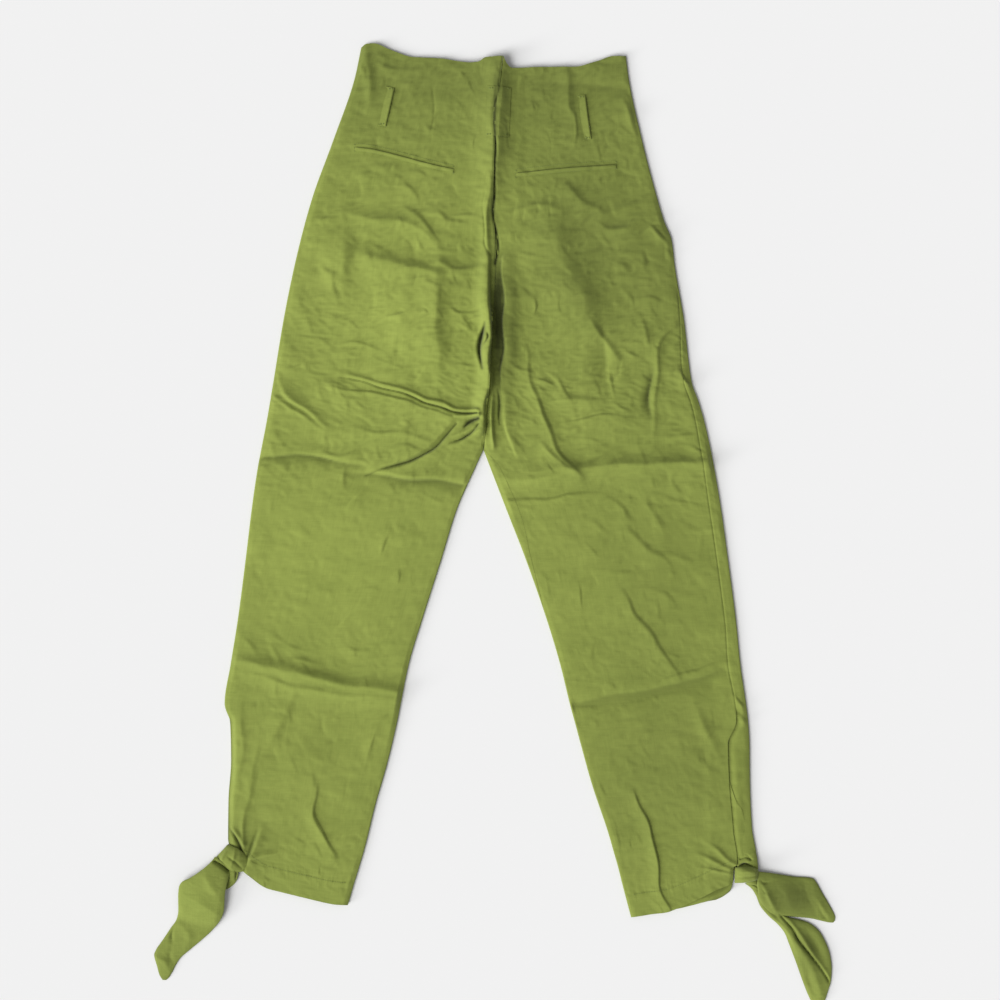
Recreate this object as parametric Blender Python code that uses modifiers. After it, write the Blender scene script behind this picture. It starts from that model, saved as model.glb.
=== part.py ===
"""Linen trousers with ankle ties, laid flat on their front with the back upwards.

X runs across the legs, +Y up to the waist and +Z up from the surface they lie on. Each cut piece is
one thin wall: a grid of points laid out from its seams and edges, thickened by Solidify. Tables and
sizes are in millimetres, and points become metres where a mesh is made.
"""

import math
from collections import namedtuple

import bmesh
import bpy
import numpy as np
from mathutils import Vector
from mathutils.bvhtree import BVHTree

# Driving sizes
MM = 0.001
CLOTH = 1.0             # thickness of a cloth wall
SEAM_GAP = 0.3          # clearance between two pieces that are sewn together
LAY_GAP = 0.45          # clearance between a panel and what lies on it
SEAM_REACH = 1.3        # reach over a seam's clearance when a piece is laid across it
EDGE_RADIUS = 1.3       # bend of the cloth round a side edge, at mid-thickness
FLOOR_MID = CLOTH / 2   # mid-thickness height of cloth that lies on the surface
TOP_MID = 2.1           # the same of a back panel over a front panel
TOP_OVER_PIECE = 3.15   # the same where a hidden piece lies in between
PIECE_MID = 1.8         # the same of a hidden piece between front and back
ROLL_IN = 15.0          # how far in from a side edge the back panel has settled
SLIT_ROLL_IN = 8.0      # the same along an open slit
FOLD_CLEAR = 16.0       # how far in from a side edge a fold has its full height
TURN_EASE = 0.25        # extra half clearance where a side seam changes from edge to top
CLIMB = 4.0             # lap of the front panel at which that change is over
SEAM_LAND = 1.5         # level strip of cloth beside the centre back seam
HALF_TURN = math.pi * EDGE_RADIUS
EDGE_TOP = FLOOR_MID + 2 * EDGE_RADIUS
FLAT_SEAM = SEAM_GAP / 2 - CLOTH / 2    # where a wall that isn't bent ends, in from the bend of one that is

CLOTH_ROUGHNESS = 0.85
LINEN = (0.235, 0.289, 0.063, 1.0)
LINEN_HIDDEN = (0.215, 0.268, 0.060, 1.0)
ZIP_TAPE = (0.180, 0.220, 0.055, 1.0)

# Edges of each half from waist to hem. The outer point is on the side edge, the inner one on the
# centre seam and then on the inseam. lap_out and lap_in are how far the front panel comes round
# onto the top at that edge; along the slit, lap_out is how far in the back panel's edge lies.
Row = namedtuple("Row", "out_x out_y in_x in_y lap_out lap_in slit")
LEFT_HALF = [
    Row(-155, 549, 8, 538, 0, 0, 0),
    Row(-163, 512, 5, 510, 0, 0, 0),
    Row(-187, 443, -1, 443, 0, 0, 0),
    Row(-212, 374, -3, 374, 0, 0, 0),
    Row(-230, 306, 0, 306, 0, 0, 0),
    Row(-244, 238, -3, 238, 0, 0, 0),
    Row(-256, 165, -7, 165, 0, 0, 0),
    Row(-264, 118, -11, 118, 0, 0, 0),
    Row(-270, 87, -14.5, 87, 0, 0, 0),
    Row(-274, 66, -24, 66, 0, 0, 0),
    Row(-281, 18, -45, 18, 0, 0, 0),
    Row(-288, -40, -63, -40, 0, 0, 0),
    Row(-297, -109, -85, -109, 0, 0, 0),
    Row(-305, -159, -100, -159, 0, 0, 0),
    Row(-312, -205, -110, -208, 0, 0, 0),
    Row(-306, -226, -114, -228, 0, 0, 1),
    Row(-305, -270, -125, -274, 0, 0, 1),
    Row(-308, -316, -139, -323, 0, 0, 1),
    Row(-308.5, -359, -150, -368, 0, 0, 1),
    Row(-306, -371, -157, -392, 0, 0, 1),
    Row(-297, -382, -164, -415, 0, 0, 1),
    Row(-293, -396, -170, -436, 0, 0, 1),
]
RIGHT_HALF = [
    Row(149.5, 539, 8, 538, 0, 0, 0),
    Row(153, 512, 5, 510, 0, 0, 0),
    Row(168, 443, -1, 443, 0, 0, 0),
    Row(186, 374, -3, 374, 0, 0, 0),
    Row(194, 348, -2, 348, 0, 0, 0),
    Row(202, 328, -1, 328, 0, 0, 0),
    Row(206, 296, 0, 296, 0, 0, 0),
    Row(216, 238, -3, 238, 4.5, 0, 0),
    Row(225, 165, -7, 165, 9, 0, 0),
    Row(233, 142, -9, 142, 9, 0, 0),
    Row(240, 118, -11, 118, 10, 2, 0),
    Row(247, 87, -14.5, 87, 11.5, 13, 0),
    Row(251, 66, -6.5, 66, 12, 15, 0),
    Row(259, 18, 12, 18, 13, 14, 0),
    Row(267, -40, 34.5, -40, 12.5, 6, 0),
    Row(276, -109, 58.5, -109, 12.5, 0, 0),
    Row(281, -159, 73.5, -159, 14, 0, 0),
    Row(287.5, -205, 85.5, -208, 12, 0, 0),
    Row(290, -226, 91, -228, 14, 0, 1),
    Row(291.5, -251, 98, -254, 25, 0, 1),
    Row(292, -295, 110, -297, 24, 0, 1),
    Row(294.5, -348, 128.5, -352, 22, 0, 1),
    Row(299.5, -380, 136, -378, 22.5, 0, 1),
    Row(289, -386.5, 140, -392, 12, 0, 1),
    Row(274.5, -392, 145, -412, 1, 0, 1),
    Row(273, -409, 155, -450, 1, 0, 1),
]
CROTCH_Y = 87

# The centre seam, which both halves share, from waist to crotch.
CENTRE_LINE = [(8, 538), (5, 510), (-1, 443), (-3, 374), (0, 306), (-3, 238), (-7, 165), (-11, 118),
               (-14.5, 87)]

# How far the waist and hem edges leave the straight line between their corners, + outwards,
# by the share of the way from the outer corner to the inner one.
EdgeBow = namedtuple("EdgeBow", "share rise")
LEFT_WAIST = [EdgeBow(0, 0), EdgeBow(0.035, 4.5), EdgeBow(0.09, 5.6), EdgeBow(0.2, 0), EdgeBow(0.37, -7),
              EdgeBow(0.54, -6.5), EdgeBow(0.76, -9), EdgeBow(0.83, -7.5), EdgeBow(0.88, -2.5), EdgeBow(1, 0)]
RIGHT_WAIST = [EdgeBow(0, 0), EdgeBow(0.1, 0), EdgeBow(0.23, -5.5), EdgeBow(0.42, -12), EdgeBow(0.68, -12),
               EdgeBow(0.93, -13), EdgeBow(0.975, -8), EdgeBow(1, 0)]
FRONT_WAIST = [EdgeBow(0, 0), EdgeBow(0.1, -3), EdgeBow(0.4, -14), EdgeBow(1, -15)]
LEFT_HEM = [EdgeBow(0, 0), EdgeBow(0.08, 4), EdgeBow(0.19, 9.7), EdgeBow(0.25, 11), EdgeBow(0.36, 10),
            EdgeBow(0.6, 7.5), EdgeBow(0.85, 4.5), EdgeBow(1, 0)]
LEFT_FRONT_HEM = [EdgeBow(0, 0), EdgeBow(0.3, 8), EdgeBow(0.6, 5), EdgeBow(1, -2)]
RIGHT_HEM = [EdgeBow(0, 0), EdgeBow(0.05, 6), EdgeBow(0.3, 5.4), EdgeBow(0.62, 8.5), EdgeBow(0.8, 4.5),
             EdgeBow(1, 0)]
RIGHT_FRONT_HEM = [EdgeBow(0, 0), EdgeBow(0.035, 10), EdgeBow(0.16, 14.5), EdgeBow(0.27, 12),
                   EdgeBow(0.4, 10.5), EdgeBow(0.53, 9), EdgeBow(1, -2)]
BOW_FADE = 150.0        # how far along the leg the bow of a waist or hem edge is felt

# Each half: which side of the centre it is on, its edges, how far in the front panel's slit edge
# stays, and how high the back panel's slit edge lies.
Half = namedtuple("Half", "side rows waist back_hem front_hem front_inset slit_edge_mid")
LEFT = Half(-1, LEFT_HALF, LEFT_WAIST, LEFT_HEM, LEFT_FRONT_HEM, 12.0, FLOOR_MID)
RIGHT = Half(1, RIGHT_HALF, RIGHT_WAIST, RIGHT_HEM, RIGHT_FRONT_HEM, 0.0, EDGE_TOP)

# Folds that stand up from the top layer. A fold follows a line of three or four points, with its
# height at the start, the middle and the end, and a width on its upper or right side and one on
# its lower or left side.
Fold = namedtuple("Fold", "line start middle end upper lower")
FOLDS = {
    "centre ridge at waist": Fold([(3, 541), (0, 490), (-3, 430), (-5, 375)], 9, 7.5, 3.5, 11, 17),
    "pleat beside centre seam": Fold([(-8, 385), (-12, 340), (-9, 300)], 0.5, 3.5, 1, 6, 5),
    "rolled edge left of centre": Fold([(-12, 295), (-11, 240), (-15, 175), (-21, 115)], 2, 6.5, 4, 5, 7),
    "shoulder right of centre": Fold([(8, 300), (10, 225), (8, 160), (8, 120)], 2.5, 4, 1, 9, 6),
    "upper crotch crease": Fold([(-215, 171), (-150, 170), (-90, 148), (-30, 133)], 1.5, 4, 4.5, 8, 8),
    "diagonal crease left": Fold([(-250, 172), (-226, 150), (-196, 112)], 1, 3, 1, 7, 7),
    "side wrinkle left": Fold([(-232, 217), (-170, 212), (-110, 190)], 1, 2.5, 1, 9, 9),
    "crotch hollow upper lip": Fold([(-160, 82), (-105, 85), (-62, 104), (-38, 121)], 1, 3.5, 4.5, 8, 6),
    "crotch hollow lower lip": Fold([(-108, 62), (-70, 80), (-44, 96), (-28, 112)], 1.5, 5, 4, 6, 9),
    "thigh band left": Fold([(-262, 64), (-190, 55), (-110, 46), (-44, 44)], 2, 4.5, 3, 9, 12),
    "thigh ridge right": Fold([(86, 80), (140, 80), (190, 86), (232, 89)], 2, 4.5, 2.5, 10, 8),
    "long crease right": Fold([(34, 206), (46, 150), (60, 104), (86, 68)], 1.5, 3.5, 2, 8, 8),
    "seat swell right": Fold([(95, 248), (115, 222), (144, 190)], 1, 3, 1, 12, 12),
    "seat swell left": Fold([(-80, 262), (-76, 215), (-64, 160)], 0.5, 2.5, 0.5, 10, 10),
    "pocket bag edge right": Fold([(206, 229), (191, 208), (184, 172), (180, 112)], 0.5, 2, 0.5, 6, 6),
    "knee band left": Fold([(-300, -153), (-212, -172), (-160, -184), (-108, -190)], 2, 4, 2.5, 10, 8),
    "knee wrinkle left": Fold([(-226, -186), (-250, -225), (-268, -262)], 1.5, 2, 0.5, 9, 9),
    "knee band right": Fold([(88, -208), (125, -199), (200, -188), (258, -172)], 2, 4.5, 2.5, 8, 10),
    "knee wrinkle right": Fold([(222, -206), (238, -235), (252, -268)], 1, 2, 0.5, 8, 8),
    "hem crease left": Fold([(-207, -303), (-207, -332), (-182, -394)], 1, 3, 1, 6, 7),
    "hem crease right": Fold([(155, -306), (180, -350), (186, -400), (198, -436)], 1, 3, 1, 6, 7),
    "gather at knot left": Fold([(-262, -330), (-278, -355), (-290, -375)], 1, 3, 2, 6, 6),
    "gather at knot right": Fold([(222, -372), (248, -386), (268, -398)], 1, 3, 2, 6, 6),
}

# Broad swells all over the top layer: half height, and the lengths that set their slant and size.
Swell = namedtuple("Swell", "height across down")
SWELLS = [Swell(0.35, 41.0, 67.0), Swell(0.25, -78.0, 33.0)]

# Places where a hidden piece holds the top layer up, as boxes with a soft border.
Zone = namedtuple("Zone", "x0 x1 y0 y1")
SOFT_BORDER = 12.0
ZONES = [Zone(-32, 36, 330, 555), Zone(-250, -92, 92, 345), Zone(92, 245, 92, 345),
         Zone(236, 330, -432, -250)]

# Grid lines of a panel: distances in from its seam edges, then even steps between, and the rows
# that follow each other down the garment, in thousandths of the way from waist to hem.
BACK_FROM_SIDE = [0.0, 0.35, 2.0, 6.0]
BACK_FROM_CENTRE = [0.0, 1.5, 5.0, 10.0, 16.0, 23.0]
BACK_FROM_INSEAM = [0.0, 0.35, 2.0, 6.0, 13.0, 22.0]
BACK_BETWEEN = 11
FRONT_FROM_SIDE = [0.0, 0.35, 2.0, 4.0]
FRONT_BETWEEN = 5
Spacing = namedtuple("Spacing", "start stop rows")
PANEL_ROWS = [Spacing(0, 24, 2), Spacing(24, 330, 13), Spacing(330, 530, 15), Spacing(530, 690, 5),
              Spacing(690, 768, 6), Spacing(768, 804, 3), Spacing(804, 930, 4), Spacing(930, 1000, 5)]
CLOSING = 26.0          # the stretch above the crotch in which the inner edges come together

# Strips that lie on the back panels: the line down their middle, their width and how far the
# middle of the strip stands off the panel.
Strip = namedtuple("Strip", "line width arch across down")
STRIPS = {
    "belt_loop_left": Strip([(-121, 503), (-126, 481), (-131, 459)], 9, 3.0, 3, 9),
    "belt_loop_right": Strip([(98, 494), (101, 469), (105, 443)], 9, 3.0, 3, 9),
    "belt_loop_centre": Strip([(3.6, 503), (2, 474), (1, 446)], 28, 0.8, 11, 7),
    "welt_left": Strip([(-162, 431.5), (-105, 420), (-49, 406.5)], 7, 0.0, 3, 15),
    "welt_right": Strip([(23, 401.5), (80, 407.5), (138, 411.5)], 7, 0.0, 3, 15),
}

# Pieces between front and back, row by row from the top: y and the two edges.
Span = namedtuple("Span", "y left right")
POCKET_BAG = [Span(328, 116, 186), Span(300, 113, 190), Span(250, 110, 202), Span(200, 109, 212),
              Span(150, 111, 214), Span(122, 120, 208), Span(108, 136, 190)]
SLIT_FACING = [Span(-290, 256, 266), Span(-305, 255, 274), Span(-322, 256, 281), Span(-345, 257, 284),
               Span(-368, 259, 284), Span(-382, 262, 280)]
ZIP_TOP = 518.0
ZIP_FOOT = 360.0
ZIP_HALF = [(13.0, 0.0), (3.4, 0.0), (2.6, 0.3)]   # distance from the centre and rise of tape and chain
ZIP_ROWS = 9

# Tie ends from the knot to the tip: the two edges, and the height of the middle and of the edges.
TieRow = namedtuple("TieRow", "left_x left_y right_x right_y middle edge")
TIE_LEFT_UPPER = [TieRow(-321.2, -382.7, -303, -401, 7.5, 5), TieRow(-336, -394, -303, -407.5, 6.5, 3),
                  TieRow(-351, -404, -307.5, -416, 5, 1.8), TieRow(-362.5, -414, -311.8, -430, 4, 1.8),
                  TieRow(-364.5, -431, -314.5, -446.5, 3.6, 1.8), TieRow(-366, -449, -328, -463, 3.2, 1.8),
                  TieRow(-379, -471, -345, -479, 3.5, 1.8), TieRow(-389.5, -488, -356.5, -490.5, 4, 1.0),
                  TieRow(-390.5, -498, -367, -502, 3, 0.5), TieRow(-387, -514.5, -374, -514.5, 1.5, 0.5),
                  TieRow(-383.5, -521.5, -377, -521.5, 0.6, 0.5)]
TIE_LEFT_LOWER = [TieRow(-316, -393.5, -310, -400.5, 0.5, 0.5), TieRow(-345, -412, -318, -420, 0.5, 0.5),
                  TieRow(-356, -425, -320, -436, 0.5, 0.5), TieRow(-358, -446, -335, -454, 0.5, 0.5),
                  TieRow(-370, -468, -352, -473, 0.5, 0.5), TieRow(-374, -480, -364, -482, 0.5, 0.5)]
TIE_RIGHT_UPPER = [TieRow(304.2, -397.6, 303, -412, 8, 6), TieRow(318, -399.5, 307, -423.5, 8, 5),
                   TieRow(333, -401.5, 316.5, -435, 6.5, 3.5), TieRow(350, -404.5, 331.5, -448.5, 5, 2),
                   TieRow(362.5, -405.5, 350, -449.5, 4.5, 1), TieRow(369, -413, 364, -451.5, 3, 0.6),
                   TieRow(378.5, -431.5, 376, -454.5, 1.8, 0.5), TieRow(390, -451, 385, -458, 0.6, 0.5)]
TIE_RIGHT_LOWER = [TieRow(289.5, -410.6, 300, -411.6, 4, 3), TieRow(300, -425, 308, -427.5, 5, 2),
                   TieRow(303.5, -437.5, 319.5, -440, 5.5, 1.4), TieRow(311.5, -449.5, 334, -453.5, 6, 1),
                   TieRow(332, -467.5, 361, -459.5, 6, 0.8), TieRow(337, -481.5, 374.8, -470.5, 6, 1),
                   TieRow(345, -503.5, 383.6, -486, 6, 1.5), TieRow(352, -525, 386.2, -503.5, 5.5, 1.5),
                   TieRow(362, -545.5, 385, -525, 4, 1), TieRow(369, -554, 377, -547, 1.5, 0.5)]
TIE_COLUMNS = 6

# Knots: rings along the band that the two ties make, from the panel side to the tie side.
KnotRing = namedtuple("KnotRing", "x y half_width height")
KNOT_LEFT = [KnotRing(-299.4, -382.2, 7, 5), KnotRing(-302.7, -383.5, 11, 11),
             KnotRing(-306.3, -384.7, 14, 14), KnotRing(-309.8, -386.9, 13, 13),
             KnotRing(-312, -388.3, 10, 10), KnotRing(-313.2, -389, 6, 5)]
KNOT_RIGHT = [KnotRing(275.6, -400.6, 5, 5), KnotRing(278.4, -400.3, 9, 11), KnotRing(283, -400, 11, 14),
              KnotRing(290, -400, 10, 13), KnotRing(296, -400, 10.8, 14),
              KnotRing(299.6, -400.8, 10.2, 12), KnotRing(301.8, -401.6, 7, 7)]
KNOT_SIDES = 14
ROUNDNESS = 0.8         # below 1, ties and knots are fuller than a true round


# Curves
def smooth_step(value):
    value = np.clip(value, 0.0, 1.0)
    return value * value * (3 - 2 * value)


def through(xs, ys, x):
    """Values at x of a smooth curve through the points (xs, ys) that never overshoots them."""
    xs = np.asarray(xs, float)
    ys = np.asarray(ys, float)
    steps = np.diff(xs)
    slopes = np.diff(ys) / steps
    tangents = np.zeros(len(xs))
    tangents[0] = slopes[0]
    tangents[-1] = slopes[-1]
    product = slopes[:-1] * slopes[1:]
    turning = product <= 0
    total = np.where(turning, 1.0, slopes[:-1] + slopes[1:])
    tangents[1:-1] = np.where(turning, 0.0, 2 * product / total)
    k = np.clip(np.searchsorted(xs, x) - 1, 0, len(xs) - 2)
    t = np.clip((x - xs[k]) / steps[k], 0.0, 1.0)
    rise = ys[k] * (1 + 2 * t) * (1 - t) ** 2 + ys[k + 1] * t * t * (3 - 2 * t)
    return rise + steps[k] * (tangents[k] * t * (1 - t) ** 2 - tangents[k + 1] * t * t * (1 - t))


def smooth_line(points, count):
    """count points on a smooth line through the given ones, even in the line's own parameter."""
    table = np.asarray(points, float)
    places = np.linspace(0, 1, len(table))
    t = np.linspace(0, 1, count)
    return np.stack([through(places, column, t) for column in table.T], axis=1)


def centre_x(y):
    line = np.array(CENTRE_LINE, float)[::-1]
    return through(line[:, 1], line[:, 0], y)


# The height of the top layer
def fold_height(fold, x, y):
    line = smooth_line(fold.line, 25)
    starts = line[:-1]
    ways = np.diff(line, axis=0)
    apart = np.stack([x, y], axis=-1)[..., None, :] - starts
    share = np.clip((apart * ways).sum(-1) / (ways * ways).sum(-1), 0.0, 1.0)
    offsets = apart - share[..., None] * ways
    nearest = np.linalg.norm(offsets, axis=-1).argmin(-1)
    pick = nearest[..., None]
    along = (nearest + np.take_along_axis(share, pick, -1)[..., 0]) / len(ways)
    offset = np.take_along_axis(offsets, pick[..., None], -2)[..., 0, :]
    way = ways[nearest]
    turned = way[..., 0] * offset[..., 1] - way[..., 1] * offset[..., 0]
    width = np.where(turned > 0, fold.upper, fold.lower)
    height = through([0, 0.5, 1], [fold.start, fold.middle, fold.end], along)
    return height * np.exp(-(np.linalg.norm(offset, axis=-1) / width) ** 2)


def zone_share(zone, x, y):
    inside = [x - zone.x0, zone.x1 - x, y - zone.y0, zone.y1 - y]
    return math.prod(smooth_step(distance / SOFT_BORDER) for distance in inside)


def top_height(x, y, from_edge, edge_mid=EDGE_TOP, roll_in=ROLL_IN):
    """Mid-thickness height of the top layer, where from_edge is the distance in from a side edge."""
    held = sum(zone_share(zone, x, y) for zone in ZONES)
    settled = TOP_MID + (TOP_OVER_PIECE - TOP_MID) * np.clip(held, 0, 1)
    swell = sum(s.height * (1 + np.sin(x / s.across + y / s.down)) for s in SWELLS)
    folds = sum(fold_height(fold, x, y) for fold in FOLDS.values())
    rolled = edge_mid + (settled - edge_mid) * smooth_step(from_edge / roll_in)
    return rolled + (swell + folds) * smooth_step(from_edge / FOLD_CLEAR)


# Panels
def panel_rows(half):
    """The edges at each row of the grid, the share of each row on the way down, and how far the
    inner edges have come together."""
    places = [np.linspace(s.start, s.stop, s.rows, endpoint=False) for s in PANEL_ROWS]
    places = np.append(np.concatenate(places), PANEL_ROWS[-1].stop)
    table = np.array(half.rows, float)
    down = -(table[:, 1] + table[:, 3]) / 2
    down = 1000 * (down - down[0]) / (down[-1] - down[0])
    crotch = int(np.flatnonzero(table[:, 3] == CROTCH_Y)[0])
    above = places <= down[crotch]
    fields = []
    for column in table.T:
        upper = through(down[: crotch + 1], column[: crotch + 1], places)
        lower = through(down[crotch:], column[crotch:], places)
        fields.append(np.where(above, upper, lower))
    rows = Row(*fields)
    rows = rows._replace(in_x=np.where(above, centre_x(rows.in_y), rows.in_x))
    return rows, places, smooth_step((places - down[crotch] + CLOSING) / CLOSING)


def bent(arc):
    """Distance in from a side edge and height, at an arc length from where the cloth leaves the
    surface: flat below, round the bend, then on along the top."""
    turn = np.clip(arc / EDGE_RADIUS, 0, math.pi) - math.pi / 2
    across = EDGE_RADIUS * (1 - np.cos(turn)) + np.maximum(arc - HALF_TURN, 0) + np.maximum(-arc, 0)
    return across, FLOOR_MID + EDGE_RADIUS * (1 + np.sin(turn))


def upright(across, arc):
    """The same distances, with the last narrow strip before a seam on the bend made upright, so
    that the two walls that meet there are cut square to each other."""
    steep = np.clip(2 * (HALF_TURN - arc[:, :1]) / HALF_TURN, 0, 1)
    across[:, :1] = blend(across[:, :1], across[:, 1:2], steep)
    return across


def half_gap(rows):
    """Half the clearance at the side seam, wider where the seam climbs the bend or the slit opens."""
    climbing = sum(np.sin(math.pi * np.clip(lap / CLIMB, 0, 1)) for lap in (rows.lap_out, rows.lap_in))
    opening = np.maximum(rows.slit, np.roll(rows.slit, -1)) * (rows.slit < 1)
    return SEAM_GAP / 2 + TURN_EASE * np.maximum(climbing, opening)[:, None]


def seam_arc(lap):
    """Arc length of the side seam, which is halfway round the bend where the front has no lap."""
    return np.where(lap < EDGE_RADIUS, HALF_TURN / 2 * (1 + lap / EDGE_RADIUS), HALF_TURN + lap - EDGE_RADIUS)


def blend(a, b, share):
    return a + (b - a) * share


def place_grid(half, rows, places, across_out, across_in, count, waist, hem):
    """x, y and the distances to the two side edges, with count even columns between the edges'."""
    inward = -half.side
    out_edge = rows.out_x + inward * FLOOR_MID
    in_edge = rows.in_x - inward * FLOOR_MID
    width = np.abs(in_edge - out_edge)[:, None]
    first = across_out[:, -1:]
    last = width - across_in[:, -1:]
    between = first + (last - first) * np.linspace(0, 1, count + 2)[1:-1]
    from_out = np.concatenate([across_out, between, (width - across_in)[:, ::-1]], axis=1)
    share = from_out / width
    x = out_edge[:, None] + inward * from_out
    y = rows.out_y[:, None] + (rows.in_y - rows.out_y)[:, None] * share
    top_fade = np.clip(1 - places / BOW_FADE, 0, 1)[:, None] ** 2
    foot_fade = np.clip(1 - (1000 - places) / BOW_FADE, 0, 1)[:, None] ** 2
    rise = through([b.share for b in waist], [b.rise for b in waist], share)
    fall = through([b.share for b in hem], [b.rise for b in hem], share)
    return x, y + rise * top_fade - fall * foot_fade, from_out, width - from_out


def back_grid(half):
    """Mid-thickness points [row, column] of a back panel, columns from the side edge inwards."""
    rows, places, closed = panel_rows(half)
    slit = smooth_step(rows.slit * 2 - 1)[:, None]
    closed = closed[:, None]
    lap_out = rows.lap_out[:, None]
    side = np.array(BACK_FROM_SIDE)
    centre = np.array(BACK_FROM_CENTRE)
    gap = half_gap(rows)
    arc_out = seam_arc(lap_out) + gap + side
    across_tube, height_tube = bent(arc_out)
    across_out = blend(upright(across_tube, arc_out), lap_out + side, slit)
    arc_in = seam_arc(rows.lap_in[:, None]) + gap + np.array(BACK_FROM_INSEAM)
    across_bent, height_bent = bent(arc_in)
    across_in = blend(centre + FLAT_SEAM, upright(across_bent, arc_in), closed)
    x, y, from_out, from_in = place_grid(
        half, rows, places, across_out, across_in, BACK_BETWEEN, half.waist, half.back_hem
    )
    from_edge = np.minimum(from_out, from_in + 2 * FOLD_CLEAR * (1 - closed))
    land = np.clip(SEAM_LAND + FLAT_SEAM - from_in, 0, None) * (1 - closed)
    x_level = x + half.side * land
    slit_share = np.where(from_out < from_in, slit, 0)
    edge_mid = blend(EDGE_TOP, half.slit_edge_mid, slit_share)
    z = top_height(x_level, y, from_edge, edge_mid, blend(ROLL_IN, SLIT_ROLL_IN, slit_share))
    n, m = len(side), len(centre)
    z[:, :n] = blend(np.where(arc_out < HALF_TURN, height_tube, z[:, :n]), z[:, :n], slit)
    inner = z[:, -m:][:, ::-1]
    z[:, -m:] = blend(inner, np.where(arc_in < HALF_TURN, height_bent, inner), closed)[:, ::-1]
    return np.stack([x, y, z], axis=2)


def front_turns(arc):
    """Distances from the seam at which the columns of a front panel's edge lie, by arc length: close
    to the seam where that is on the bend, and round the bend where the front laps onto the top."""
    flat = arc - HALF_TURN
    lapped = np.concatenate([0 * arc, flat, flat + HALF_TURN / 2, arc], axis=1)
    return blend(np.array(FRONT_FROM_SIDE), lapped, smooth_step(flat / CLIMB))


def front_grid(half):
    """Mid-thickness points of a front panel, flat on the surface and turned up at its edges."""
    rows, places, closed = panel_rows(half)
    slit = smooth_step(rows.slit * 2)[:, None]
    closed = closed[:, None]
    gap = half_gap(rows)
    arc_out = seam_arc(rows.lap_out[:, None]) - gap
    turns_out = front_turns(arc_out)
    across_tube, height_out = bent(arc_out - turns_out)
    across_tube = upright(across_tube, arc_out - turns_out)
    flat_out = half.front_inset + np.array(FRONT_FROM_SIDE)
    across_out = blend(across_tube, flat_out, slit)
    arc_in = seam_arc(rows.lap_in[:, None]) - gap
    turns_in = front_turns(arc_in)
    across_bent, height_in = bent(arc_in - turns_in)
    flat_in = FLAT_SEAM + np.array(FRONT_FROM_SIDE)
    across_in = blend(flat_in, upright(across_bent, arc_in - turns_in), closed)
    x, y, from_out, from_in = place_grid(
        half, rows, places, across_out, across_in, FRONT_BETWEEN, FRONT_WAIST, half.front_hem
    )
    z = np.full(x.shape, FLOOR_MID)
    n = len(FRONT_FROM_SIDE)
    lying = top_height(x, y, np.minimum(from_out, from_in))
    lapped = arc_out - turns_out > HALF_TURN
    z[:, :n] = blend(np.where(lapped, lying[:, :n], height_out), FLOOR_MID, slit)
    lapped = arc_in - turns_in > HALF_TURN
    inner = np.where(lapped, lying[:, -n:][:, ::-1], height_in)
    z[:, -n:] = blend(FLOOR_MID, inner, closed)[:, ::-1]
    return np.stack([x, y, z], axis=2)


# Meshes
def material(name, colour):
    made = bpy.data.materials.new(name)
    made.use_nodes = True
    shader = made.node_tree.nodes["Principled BSDF"]
    shader.inputs["Base Color"].default_value = colour
    shader.inputs["Roughness"].default_value = CLOTH_ROUGHNESS
    shader.inputs["Metallic"].default_value = 0.0
    return made


def add_object(name, bm, colour):
    mesh = bpy.data.meshes.new(name)
    bm.to_mesh(mesh)
    bm.free()
    mesh.shade_smooth()
    piece = bpy.data.objects.new(name, mesh)
    mesh.materials.append(material(name + "_cloth", colour))
    parts.objects.link(piece)
    return piece


def cloth(name, grid, colour=LINEN, even=True):
    """A wall of cloth round a grid of mid-thickness points [row, column] in millimetres. An even
    wall keeps its thickness at bends; one that isn't never bulges below the surface it lies on."""
    down, across = grid.shape[:2]
    bm = bmesh.new()
    bmesh.ops.create_grid(bm, x_segments=across - 1, y_segments=down - 1, size=1)
    for vert in bm.verts:
        column = round((vert.co.x + 1) / 2 * (across - 1))
        row = round((vert.co.y + 1) / 2 * (down - 1))
        vert.co = Vector(grid[row, column]) * MM
    piece = add_object(name, bm, colour)
    wall = piece.modifiers.new("wall", "SOLIDIFY")
    wall.thickness = CLOTH * MM
    wall.offset = 0
    wall.use_even_offset = even
    return piece


def surface_of(grid):
    """A tree of the grid's own faces, to lay other pieces on."""
    down, across = grid.shape[:2]
    corners = [Vector(p) for p in grid.reshape(-1, 3)]
    faces = []
    for r in range(down - 1):
        for c in range(across - 1):
            first = r * across + c
            faces.append((first, first + 1, first + across + 1, first + across))
    return BVHTree.FromPolygons(corners, faces)


def laid_point(trees, x, y, out):
    """The point over (x, y) that clears the highest of the surfaces there by out. A miss of less
    than SEAM_REACH counts as on the surface, so that a piece can lie across a seam."""
    highest = 0.0
    for tree in trees:
        for reach in (-SEAM_REACH, 0.0, SEAM_REACH):
            hit, normal = tree.ray_cast(Vector((x + reach, y, 100.0)), Vector((0, 0, -1)))[:2]
            if hit:
                highest = max(highest, hit.z + out / abs(normal.z))
    return x, y, highest


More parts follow.
